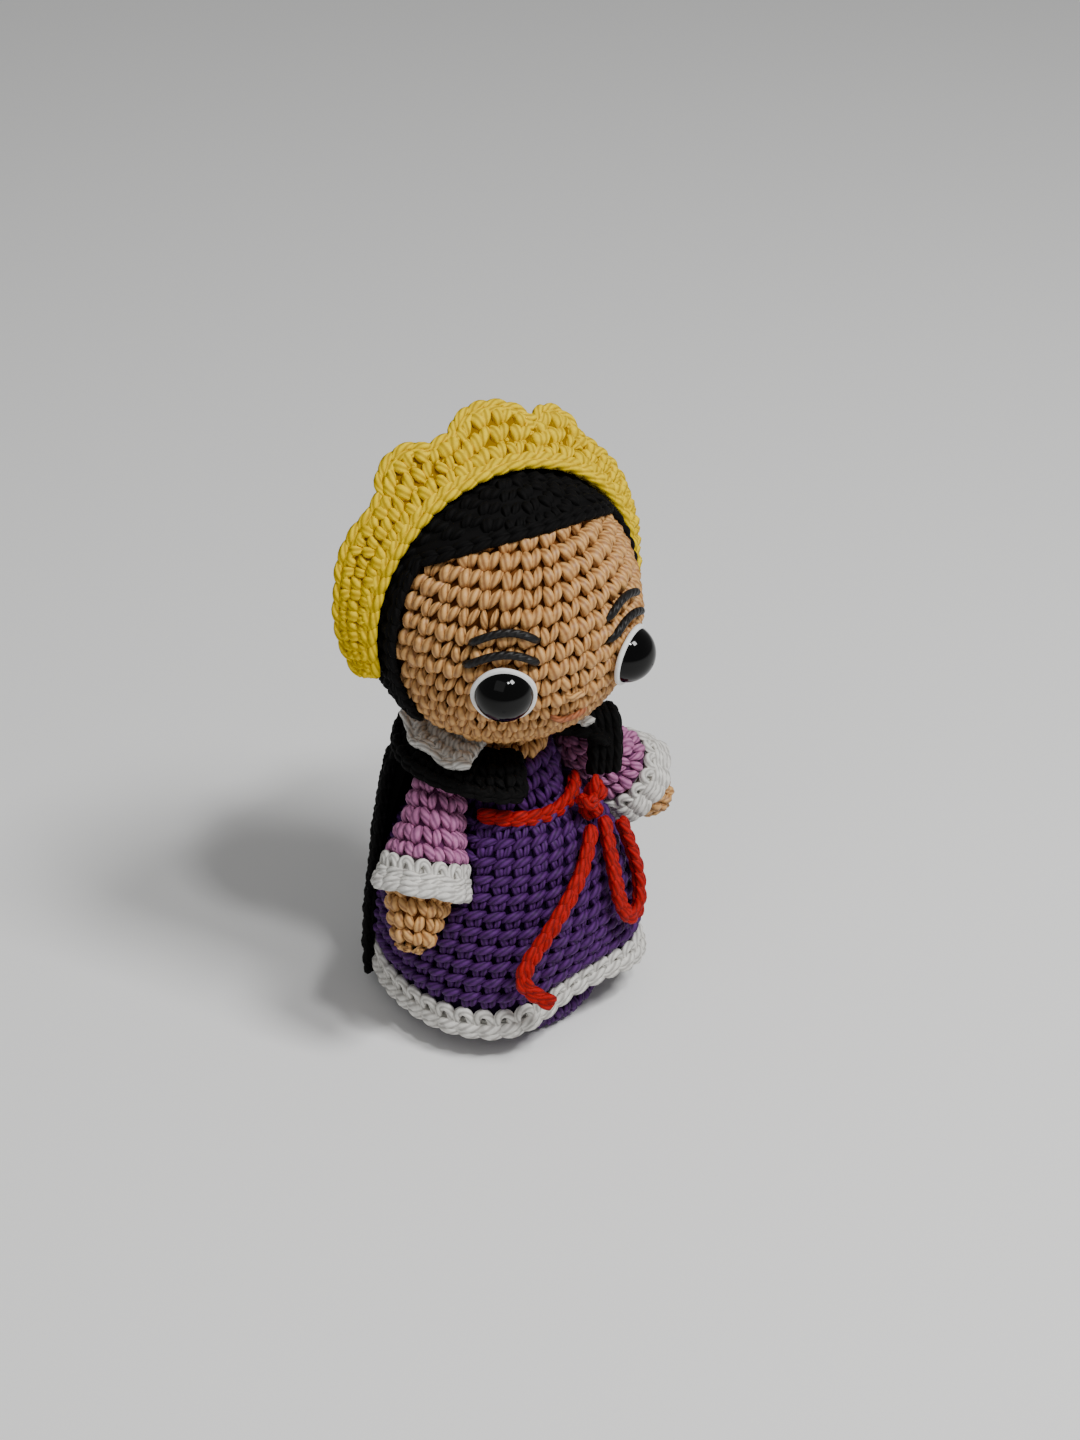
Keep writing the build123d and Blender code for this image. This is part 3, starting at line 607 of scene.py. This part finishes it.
# ---- Face stitches: brows, lids, nose and mouth in embroidery thread laid on the fabric ----
# Plain calm arcs of two-ply thread, in degrees across and up on the ball of the head.
FACE_STITCHES = {
    "brow_right": [(-17, 14), (-30, 18.5), (-45, 13)], "brow_left": [(17, 14), (30, 18.5), (45, 13)],
    "lash_right": [(-17, 4.5), (-31, 9.6), (-47, 3)], "lash_left": [(17, 4.5), (31, 9.6), (47, 3)],
    "nose_stitch": [(-3.5, -15), (0, -14.2), (3.5, -15)], "mouth_stitch": [(-9, -26), (0, -28.5), (9, -26)],
}
black_thread = yarn("black_embroidery_thread", "#141212", "#050404", ply_turn=0.9, gloss=0.5, glint=0.3)
mouth_thread = yarn("rust_embroidery_thread", "#A8643C", "#5E2E14", ply_turn=0.9, gloss=0.5, glint=0.3)
# Each thread with its slot and its radius.
FACE_THREADS = {
    "mouth_stitch": (mouth_thread, "mouth_thread", 0.45), "nose_stitch": (skin_yarn, "skin_yarn", 0.45),
}
for name, marks in FACE_STITCHES.items():
    lon, lat = np.array(marks, float).T
    t = np.linspace(0, 1, 25)
    weights = np.stack([2 * (t - 0.5) * (t - 1), -4 * t * (t - 1), 2 * t * (t - 0.5)])
    lon, lat = np.radians(lon @ weights) + HEAD_YAW, np.radians(lat @ weights)
    way = np.stack([np.sin(lon) * np.cos(lat), -np.cos(lon) * np.cos(lat), np.sin(lat)], axis=-1)
    lift = HEAD_R + 0.35 - 1.3 * np.abs(2 * t - 1) ** 10
    thread, slot, thick = FACE_THREADS.get(name, (black_thread, "black_thread", 0.58))
    line = way * lift[:, None] + HEAD_CENTRE
    shape = tubes(line[None], np.full((1, 25), thick), way[None], sides=12)
    solid(name + "_thread", [(shape, thread)], "head", [name])

# ---- Body: one bag from the base up to the neck, purple acrylic yarn in single crochet, stuffed ----
# The base is worked flat from its middle and stands on a stiff round inside. The wall goes up under the skirt.
# A turned shape's surface takes b as the distance along its profile, from its first point.
PURPLE_R = 0.66
purple_yarn = yarn("purple_acrylic_yarn", "#522569", "#180726", gloss=0.62, glint=0.2, sheen=0.05)
# Painted shade: the purple fabric under the stitches of the body and skirt is coloured near black for the shadow
# between them.
purple_painted_shade = under(purple_yarn, "#1A0A28")
NECK_R, SHOULDER_Z, NECK_TOP = 6.4, 44.2, 49.2
BODY_PROFILE = [
    (0.2, 0.35), (12.2, 0.35), (14.0, 1.1), (14.8, 2.8), (14.0, 8.0), (10.2, 21.0), (9.2, 31.0), (9.0, 36.0),
    (8.5, 37.6), (8.2, 39.5), (7.8, 41.5), (6.6, 44.2),
]


def turned(profile, sink, frame=None):
    """A shape turned from (radius, height) points, its profile moved in by sink.

    frame is the shape's foot and its three directions, and leaves it upright at the origin."""
    r, z = np.array(profile, float).T
    gone = np.concatenate([[0], np.cumsum(np.hypot(np.diff(r), np.diff(z)))])
    fine = np.linspace(0, gone[-1], 400)
    r, z = np.interp(fine, gone, r), np.interp(fine, gone, z)
    smooth = np.ones(15) / 15
    r, z = (np.convolve(np.pad(v, 7, mode="reflect", reflect_type="odd"), smooth, "valid") for v in (r, z))
    slope = unit(np.stack([np.gradient(z), -np.gradient(r)], axis=-1))
    r, z = np.maximum(r - sink * slope[:, 0], 0.05), z - sink * slope[:, 1]
    upright = (np.zeros(3), np.array([0, -1, 0]), np.array([1, 0, 0]), np.array([0, 0, 1]))
    foot, ahead, aside, up = frame or upright

    def surface(a, b):
        a, b = np.broadcast_arrays(a, b)
        radius, high = np.interp(b, fine, r), np.interp(b, fine, z)
        return (
            foot + radius[..., None] * (np.cos(a)[..., None] * ahead + np.sin(a)[..., None] * aside)
            + high[..., None] * up
        )
    surface.long = gone[-1]
    surface.radius = lambda b: np.interp(b, fine, r)
    return surface


body_surface = turned(BODY_PROFILE, PURPLE_R)
places = rounds(body_surface.long, body_surface.radius, (3.0, 2.7), low=1.2)
body_form = filled(body_surface, np.linspace(0.1, body_surface.long - 0.3, 60), sink=0.55)
body = solid(
    "body_knit", [(body_form, purple_painted_shade), (vees(body_surface, places, PURPLE_R), purple_yarn)],
    "body", ["body_shell"],
)

# The neck: two rounds of tan stitches on top of the bodice.
neck_surface = turned([(NECK_R + 0.3, SHOULDER_Z - 0.9), (NECK_R, SHOULDER_Z + 1.5), (NECK_R, NECK_TOP)], 0.6)
places = rounds(neck_surface.long - 0.4, neck_surface.radius, (2.8, 2.6), low=0.2)
neck_form = filled(neck_surface, np.linspace(0.1, neck_surface.long - 0.1, 8), around=40, sink=0.6)
solid("neck_skin", [(neck_form, skin_painted_shade), (vees(neck_surface, places, 0.62), skin_yarn)],
      "body", ["neck_tube"])

# ---- Skirt: a bell of purple yarn, worked in the back loops so that every round leaves a ridge ----
# It widens in 11 rounds down to the hem, dips in under both arms, and its front edge swings in and up to the
# doll's left of centre. The white hem is a round of arched stitches on a chained cord.
HEM_R, HEM_LOW, SKIRT_ROUNDS = 19.4, 4.4, 11
SKIRT_LINE = [
    (10.95, 35.8), (13.2, 33.9), (14.9, 31.0), (16.4, 27.5), (17.9, 22.5), (18.9, 17.0), (19.4, 9.0),
    (19.4, 4.4),
]
ARM_TIPS = {"right": (-23.1, -8.9, 20.8), "left": (27.9, -2.9, 23.1)}
ARM_PROFILE = [
    (4.4, 0.0), (4.8, 3.0), (6.1, 8.3), (6.9, 8.8), (7.1, 13.5), (4.9, 14.2), (4.2, 17.0), (3.0, 20.5),
    (1.5, 22.8),
]
ARM_CLEAR = 0.75


def arm_line(side):
    """An arm's pivot at its shoulder and the way it hangs from there."""
    pivot = np.array([12.9 if side == "left" else -12.9, -1.6, 39.3])
    return pivot, unit(np.array(ARM_TIPS[side]) - pivot)


def hump(x, middle, half):
    """A smooth bump that is 1 in its middle and nothing from half either side of it."""
    return np.clip(1 - ((x - middle) / half) ** 2, 0, 1) ** 2


def pressed(place):
    """Moves skirt points in towards the doll's axis until they clear both arms at rest."""
    r, s = np.array(ARM_PROFILE).T
    for side in ARM_TIPS:
        pivot, way = arm_line(side)
        for _ in range(8):
            gone = (place - pivot) @ way
            far = np.linalg.norm(place - pivot - gone[..., None] * way, axis=-1)
            need = np.where((gone > -3) & (gone < 24), np.interp(gone, s, r) + ARM_CLEAR - far, 0)
            place = place - unit(place * (1, 1, 0)) * np.maximum(need, 0)[..., None]
    return place


def skirt_surface(sink, press=True):
    """The skirt's bell, its wall moved in by sink. b is the height of the point."""
    r, z = np.array(SKIRT_LINE)[::-1].T
    fine = np.linspace(z[0], z[-1], 200)
    smooth = np.ones(21) / 21
    bell = np.convolve(np.pad(np.interp(fine, z, r), 10, mode="reflect", reflect_type="odd"), smooth, "valid")

    def surface(a, b):
        a, b = np.broadcast_arrays(a, b)
        turn = (np.degrees(a) + 180) % 360 - 180
        low = np.clip((20 - b) / 14, 0, 1)
        radius = np.interp(b, fine, bell) - sink
        radius = radius - 2.6 * hump(turn, 4, 36) * low**1.3 + 2.0 * hump(turn, 55, 32) * low
        radius = radius + 1.5 * hump(turn, 56, 24) * hump(b, 20, 9) + 0.3 * np.sin(5 * a) * low
        rise = 3.6 * hump(turn, 18, 60) * low**0.8
        place = np.stack([radius * np.sin(a), -radius * np.cos(a), b + rise], axis=-1)
        return pressed(place) if press else place
    return surface


bell = skirt_surface(PURPLE_R)
# The rounds are spaced evenly along the bell's line, from the top of the hem up to the waist.
bell_r, bell_z = np.array(SKIRT_LINE)[::-1].T
bell_line = np.array(SKIRT_LINE)[:-1]
bell_step = np.hypot(*np.diff(bell_line, axis=0).T)
bell_share = np.concatenate([[0], np.cumsum(bell_step)]) / bell_step.sum()
fine = np.linspace(0, 1, 50)
skirt_rows = np.interp(
    np.linspace(0, 1, SKIRT_ROUNDS + 1), fine, np.interp(fine, bell_share, bell_line[:, 1]),
)[::-1]
places = []
for k, (b0, b1) in enumerate(zip(skirt_rows, skirt_rows[1:])):
    count = round(FULL_TURN * np.interp((b0 + b1) / 2, bell_z, bell_r) / 2.9)
    places.append(np.stack([
        FULL_TURN * (np.arange(count) + k / 3 % 1) / count, np.full(count, (b0 + b1) / 2),
        np.full(count, FULL_TURN / count), np.full(count, b1 - b0),
    ]))
places = np.concatenate(places, axis=1)
skirt_legs = vees(bell, places, 0.56, lean=0.2, spread=0.30, proud=-0.22, points=6, sides=6)
ridge = places.copy()
ridge[1] += 0.34 * places[3]
skirt_bars = bars(bell, ridge, 0.64, 0.34)


def lined(surface, b, thick, around=120):
    """Cloth of a thickness that goes all the way round: an outer face, its edges and an inner face."""
    a = np.linspace(0, FULL_TURN, around, endpoint=False)
    outer, _ = on(surface, *np.meshgrid(a, b), 0.0)
    inner, _ = on(surface, *np.meshgrid(a, b), -thick)
    return ring_of(outer, inner)


def ring_of(outer, inner):
    """Joins an outer and an inner grid [b, a] that close on themselves in a into one ring of cloth."""
    rings = np.concatenate([outer, inner[::-1]]).swapaxes(0, 1)[:, ::-1]
    n, q = rings.shape[:2]
    i, j = np.meshgrid(np.arange(n), np.arange(q), indexing="ij")
    i2, j2 = (i + 1) % n, (j + 1) % q
    quads = np.stack([i * q + j, i * q + j2, i2 * q + j2, i2 * q + j], axis=-1).reshape(-1, 4)
    return rings.reshape(-1, 3), quads, np.zeros((0, 3), int), np.zeros((len(quads) * 4, 2)), np.zeros((0, 2))


skirt_form = lined(skirt_surface(1.25), np.linspace(6.6, 35.6, 40), 0.5)
skirt = solid("skirt_cloth", [(skirt_form, purple_painted_shade)], "body", ["skirt"])
skirt_stitches = solid(
    "skirt_stitches", [(skirt_legs, purple_yarn), (skirt_bars, purple_yarn)], "body",
)

# White acrylic yarn, matt.
white_yarn = yarn("white_acrylic_yarn", "#E3E1DB", "#84807C", gloss=0.75, sheen=0.05, glint=0.2)


def arches(surface, a, b, da, high, r, wide=0.36, points=11, sides=8):
    """Stitches that stand on an edge like upturned Us: up one side, over and down the other."""
    t = np.linspace(0, 1, points)
    x = wide * -np.cos(pi * t)
    y = high * np.sin(pi * t) ** 0.55
    place, out = on(surface, a[:, None] + da * x, b + y[None], r * (0.35 * np.sin(pi * t) - 0.25)[None])
    return tubes(place, np.full((len(a), points), r) * (0.92 + 0.12 * np.sin(pi * t)), out, sides)


HEM_ARCHES = 40
hem_surface = skirt_surface(0.6)
a = 2 * pi * np.arange(HEM_ARCHES) / HEM_ARCHES
hem_arches = arches(hem_surface, a, HEM_LOW + 1.3, 2 * pi / HEM_ARCHES, 2.9, 0.68)
around = np.linspace(0, 2 * pi, 241)
edge, out = on(hem_surface, around, np.full(241, HEM_LOW + 1.05), np.full(241, -0.15))
hem_chain = chain(edge, out, 2 * pi * HEM_R / HEM_ARCHES, 0.88, 0.50)
hem_form = lined(skirt_surface(1.0), np.linspace(HEM_LOW + 0.4, 6.9, 8), 0.7)
solid("hem_chain", [(hem_form, white_yarn), (hem_arches, white_yarn), (hem_chain, white_yarn)],
      "body", ["hem_trim"])

# ---- Belt and knot: the same red chain-stitch cord, tied to the doll's left of the front ----
BELT_R, BELT_Z, KNOT_TURN = 10.3, 37.0, radians(28)
belt_layers = []
for middle in (0, pi):
    turn = middle + np.radians(np.linspace(-56, 56, 90))
    dip = 0.9 * hump(np.degrees(turn), 5, 60) if middle == 0 else 0 * turn
    line = np.stack([BELT_R * np.sin(turn), -BELT_R * np.cos(turn), BELT_Z - dip + 0.3], axis=-1)
    out = np.stack([np.sin(turn), -np.cos(turn), 0.25 + 0 * turn], axis=-1)
    belt_layers.append((chain(line, out, LINK_LONG, LINK_R, 0.60), red_yarn))
    belt_layers.append((tubes(line[None], np.full((1, 90), 0.75), out[None], sides=10), red_yarn))
solid("belt_chain", belt_layers, "body", ["belt_cord"])

# The knot is a half hitch: three turns of cord pulled into a ball, with the cut end standing up.
knot_centre = np.array([13.6 * sin(KNOT_TURN), -13.6 * cos(KNOT_TURN), BELT_Z + 0.2])
knot_out = np.array([sin(KNOT_TURN), -cos(KNOT_TURN), 0.15])
knot_side = np.array([cos(KNOT_TURN), sin(KNOT_TURN), 0.0])
t = np.linspace(0, 2 * pi, 121)
trefoil = (
    1.55 * (np.sin(t) + 0.7 * np.sin(2 * t))[:, None] * knot_side
    + 1.5 * (np.cos(t) - 0.55 * np.cos(2 * t))[:, None] * np.array([0, 0, 1])
    + (0.75 - 0.9 * np.sin(3 * t))[:, None] * knot_out
) + knot_centre - 0.4 * knot_out
tip = knot_centre + np.array([[0, 0, 1.2], [0.5, -0.1, 2.6], [0.7, -0.2, 4.1]]) + 0.3 * knot_out
knot_layers = [
    (chain(trefoil, np.broadcast_to(knot_out, (121, 3)), 2.0, 0.62, 0.5), red_yarn),
    (tubes(tip[None], np.array([[0.85, 0.75, 0.45]]), knot_out[None, None] + 0 * tip[None], sides=10), red_yarn),
]
solid("knot_chain", knot_layers, "body", ["belt_knot"])

# ---- Arms: a lilac sleeve, a white frilled cuff and a tan hand, worked as one tube and stuffed ----
# Each hangs from its shoulder thread. The frames run down the arm from its pivot.
lilac_yarn = yarn("lilac_acrylic_yarn", "#C079A6", "#54284C", gloss=0.6, glint=0.25, sheen=0.05)
# Painted shade: the lilac fabric under the sleeve stitches is coloured dark for the shadow between them.
lilac_painted_shade = under(lilac_yarn, "#5E2E54")
SLEEVE = [(0.1, -4.2), (2.5, -3.5), (3.9, -2.0), (4.4, 0.0), (4.8, 3.0), (6.1, 8.3)]
CUFF = [(6.1, 8.0), (6.5, 9.0), (7.0, 13.3)]
HAND = [(4.7, 11.5), (4.9, 14.2), (4.3, 17.0), (3.5, 19.6), (2.3, 21.6), (0.1, 22.35)]
for side in ARM_TIPS:
    pivot, down = arm_line(side)
    ahead = unit(np.cross([1.0, 0, 0], down))
    frame = (pivot, ahead, np.cross(down, ahead), down)
    moving = "arm_" + side

    surface = turned(SLEEVE, 0.62, frame)
    places = rounds(surface.long + 0.3, surface.radius, (2.9, 2.35), low=0.4)
    form = filled(surface, np.linspace(0.1, surface.long, 26), around=40, sink=0.5)
    sleeve = solid("sleeve_knit_" + side, [(form, lilac_painted_shade), (vees(surface, places, 0.62, flip=-1), lilac_yarn)],
                   moving, ["sleeve_" + side])

    surface = turned(CUFF, 0.6, frame)
    count = 15
    a = 2 * pi * np.arange(count) / count
    lining = lined(turned(CUFF, 0.95, frame), np.linspace(0.9, surface.long - 0.3, 8), 0.6, around=60)
    layers = [(lining, white_yarn)]
    frill = arches(surface, a, surface.long - 1.6, 2 * pi / count, -3.1, 0.62)
    layers.append((frill, white_yarn))
    around = np.linspace(0, 2 * pi, 121)
    for b, thick in ((surface.long - 0.8, 0.80), (surface.long - 2.2, 0.62)):
        wave = 0.18 * np.sin(7 * around)
        edge, out = on(surface, around, b + wave, wave)
        layers.append((chain(edge, out, 2.7, thick, 0.42), white_yarn))
    solid("cuff_frill_" + side, layers, moving, ["cuff_" + side])

    surface = turned(HAND, 0.66, frame)
    places = rounds(surface.long - 0.6, surface.radius, (2.9, 2.5), low=0.4)
    form = filled(surface, np.linspace(0.1, surface.long - 0.1, 20), around=40, sink=0.55)
    hand = solid("hand_knit_" + side, [(form, skin_painted_shade), (vees(surface, places, 0.66, flip=-1), skin_yarn)],
                 moving, ["hand_" + side])

# ---- Cape: black acrylic yarn in single crochet, a yoke over the shoulders and a long back panel ----
# The yoke is open in front with a lapel at each side. The panel hangs from a thread under its back edge.
# a is the azimuth. For the yoke b runs from its neck edge to its outer one; for the back, down from its top.
CAPE_LINE = [
    (13.4, 43.9), (15.8, 42.4), (17.3, 39.5), (18.4, 35.0), (19.3, 28.0), (20.4, 20.0), (21.2, 12.0),
    (21.4, 3.4),
]
CAPE_HALF = radians(56)


def yoke_surface(sink):
    """The yoke: it slopes out and droops over the shoulders, and lies lowest at the right lapel."""
    def surface(a, b):
        a, b = np.broadcast_arrays(a, b)
        turn = -np.degrees(a)
        at = [24, 38, 60, 90, 130, 180, 250, 290, 312]
        outer = np.interp(turn, at, [12.0, 14.0, 15.6, 15.9, 15.4, 15.0, 15.4, 15.7, 14.6])
        low = np.interp(turn, at, [42.2, 43.6, 45.4, 45.7, 45.5, 44.9, 45.5, 45.7, 44.6])
        b = np.clip(b, 0, 1.08)
        r = 7.2 + (outer - 7.2) * np.sin(b * pi / 2) ** 0.9
        z = 46.6 + (low - 46.6) * (1 - np.cos(b * pi / 2)) - sink
        return np.stack([r * np.sin(a), -r * np.cos(a), z], axis=-1)
    return surface


def panel(surface, a, b, thick):
    """A flat piece of cloth, closed over its edges: an outer and an inner face on a grid of (a, b)."""
    grid = np.meshgrid(a, b)
    outer, _ = on(surface, *grid, 0.0)
    inner, _ = on(surface, *grid, -thick)
    band = np.concatenate([outer, inner[::-1]]).swapaxes(0, 1)[:, ::-1]
    return forms(band[None], band[:1].mean(1), band[-1:].mean(1))


def worked_flat(a0, a1, b0, b1, across, rows):
    """Stitch places in level rows of a piece worked to and fro."""
    wide, high = (a1 - a0) / across, (b1 - b0) / rows
    a, b = np.meshgrid(a0 + wide * (np.arange(across) + 0.5), b0 + high * (np.arange(rows) + 0.5))
    return np.stack([a.ravel(), b.ravel(), np.full(a.size, wide), np.full(a.size, abs(high))])


def over(surface, long):
    """The same surface with b reversed along its length, so that its normals point out of the doll."""
    def turned_over(a, b):
        return surface(a, long - b)
    return turned_over


YOKE_FROM, YOKE_TO = radians(-312), radians(-24)
yoke_top = over(yoke_surface(0.6), 1)
yoke_form = panel(yoke_top, np.linspace(YOKE_FROM, YOKE_TO, 120), np.linspace(0.02, 0.98, 12), 0.55)
yoke = solid("yoke_cloth", [(yoke_form, black_yarn)], "body", ["cape_yoke"])
yoke_layers = [
    (vees(yoke_top, worked_flat(YOKE_FROM, YOKE_TO, 0.04, 1.0, 24, 4), 0.62, flip=-1, proud=0.25), black_yarn),
]
turn = np.linspace(YOKE_FROM, YOKE_TO, 200)
for edge_b in (0.03, 0.97):
    line, out = on(yoke_top, turn, np.full(turn.shape, edge_b), 0.0 * turn)
    yoke_layers.append((chain(line, out, 2.6, 0.62, 0.42), black_yarn))
for end in (YOKE_FROM, YOKE_TO):
    b = np.linspace(0.03, 0.97, 40)
    line, out = on(yoke_top, np.full(40, end), b, 0.0 * b)
    yoke_layers.append((chain(line, out, 2.6, 0.62, 0.42), black_yarn))

# The left lapel is the yoke's end folded up beside the chin and hanging down over the front of the shoulder.
lapel = np.array([
    (12.0, -5.2, 46.4), (12.3, -6.0, 47.9), (12.0, -7.6, 47.6), (11.6, -8.9, 44.8), (11.3, -9.4, 41.6),
    (11.0, -9.3, 38.4),
])
t = np.linspace(0, 5, 60)
line = np.stack([
    np.convolve(np.pad(np.interp(t, np.arange(6), values), 6, mode="edge"), np.ones(13) / 13, "valid")
    for values in lapel.T
], axis=-1)
across_lapel = unit(np.array([0.90, -0.40, 0.0]))
outs = unit(np.cross(np.gradient(line, axis=0), across_lapel))
for k in (-1.6, -0.5, 0.6, 1.7):
    yoke_layers.append((chain(line + k * across_lapel, -outs, 2.4, 0.66, 0.40), black_yarn))
yoke_stitches = solid("yoke_stitches", yoke_layers, "body")


def cape_surface(sink):
    """The back panel. Soft folds grow down it and its side edges flare."""
    r, z = np.array(CAPE_LINE).T
    gone = np.concatenate([[0], np.cumsum(np.hypot(np.diff(r), np.diff(z)))])

    def surface(a, b):
        a, b = np.broadcast_arrays(a, b)
        down = np.clip(b / gone[-1], 0, 1)
        off = a - pi
        radius = np.interp(b, gone, r) - sink + (0.1 + 0.5 * down) * np.sin(5.5 * off + 0.8) * down**0.5
        wide = 1 + 0.06 * np.sin(7 * down + 0.5) * down - 0.10 * (1 - down) ** 3
        turn = pi + off * wide
        return np.stack([radius * np.sin(turn), -radius * np.cos(turn), np.interp(b, gone, z)], axis=-1)
    surface.long = gone[-1]
    return surface


cape_out = cape_surface(0.5)
CAPE_LONG = cape_out.long
CAPE_FROM, CAPE_TO = pi - CAPE_HALF, pi + CAPE_HALF
cape_up = over(cape_out, CAPE_LONG)
a_line, b_line = np.linspace(CAPE_FROM, CAPE_TO, 60), np.linspace(0.4, CAPE_LONG - 0.2, 60)
cape = solid("cape_cloth", [(panel(cape_up, a_line, b_line, 0.8), black_yarn)], None, ["cape_back"])
cape_places = worked_flat(CAPE_FROM, CAPE_TO, 0.3, CAPE_LONG, 13, 15)
cape_layers = [(vees(cape_up, cape_places, 0.55, flip=-1, spread=0.36, proud=0.25), black_yarn)]
rim_a = np.concatenate([np.full(40, CAPE_FROM), a_line, np.full(40, CAPE_TO)])
rim_b = np.concatenate([np.linspace(CAPE_LONG, 0.3, 40), np.full(60, 0.3), np.linspace(0.3, CAPE_LONG, 40)])
line, out = on(cape_up, rim_a, rim_b, -0.3 + 0 * rim_a)
cape_layers.append((chain(line, out, 2.6, 0.62, 0.42), black_yarn))
cape_stitches = solid("cape_stitches", cape_layers, None)
for piece in (cape, cape_stitches):
    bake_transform(piece)

# ---- Collar: a ruffle of white acrylic yarn that lies on the yoke behind the neck ----
# It is a strip with more stitches along its outer edge than its inner one, so it waves.
COLLAR_IN, COLLAR_OUT, COLLAR_FROM, COLLAR_TO = 7.2, 14.0, radians(49), radians(304)


def collar_surface(a, b):
    """b runs in from the edge to the neck. The wave grows towards the edge, and the left end is narrower."""
    a, b = np.broadcast_arrays(a, b)
    share = b / (COLLAR_OUT - COLLAR_IN)
    narrow = 3.2 * np.clip((radians(62) - a) / radians(20), 0, 1)
    r = COLLAR_IN + (COLLAR_OUT - COLLAR_IN - narrow) * (1 - share)
    grow = np.clip(1 - share, 0, 1.1) ** 1.3
    z = 48.2 + 0.2 * (1 - share) + 0.6 * grow * np.sin(11 * a) - 0.7 * grow
    r = r + 0.35 * grow * np.sin(11 * a + 1.2)
    return np.stack([r * np.sin(a), -r * np.cos(a), z], axis=-1)


collar_a = np.linspace(COLLAR_FROM, COLLAR_TO, 140)
collar_b = np.linspace(0.3, COLLAR_OUT - COLLAR_IN - 0.2, 12)
collar_form = panel(collar_surface, collar_a, collar_b, 0.7)
collar = solid("collar_cloth", [(collar_form, white_yarn)], "body", ["collar"])
places = worked_flat(COLLAR_FROM, COLLAR_TO, 0.3, COLLAR_OUT - COLLAR_IN, 21, 3)
collar_layers = [(vees(collar_surface, places, 0.58, flip=-1, proud=0.2), white_yarn)]
for edge_b in (0.25, COLLAR_OUT - COLLAR_IN - 0.3):
    line, out = on(collar_surface, collar_a, np.full(140, edge_b), 0 * collar_a - 0.25)
    collar_layers.append((chain(line, out, 2.4, 0.6, 0.42), white_yarn))
collar_stitches = solid("collar_stitches", collar_layers, "body")

# ---- Inside and hidden pieces: fibre filling, the stiff base round and the sewing threads ----
# They are the CAD solids with their finishes.
fibrefill = grained("white_polyester_fibrefill", "#F1F1EE", 0.95, 1200.0, 0.0003)
base_board = grained("white_base_board", "#E4E2DC", 0.8, 800.0, 0.00002)
lilac_thread = grained("lilac_sewing_yarn", "#B683BA", 0.8, 4000.0, 0.0001)
black_sewing = grained("black_sewing_yarn", "#141211", 0.8, 4000.0, 0.0001)
for name in ("body_stuffing", "neck_stuffing", "head_stuffing", "arm_stuffing_right", "arm_stuffing_left"):
    finished(name, fibrefill)
for name, material in (
    ("base_disc", base_board), ("shoulder_thread_right", lilac_thread), ("shoulder_thread_left", lilac_thread),
    ("cape_thread", black_sewing),
):
    finished(name, material)
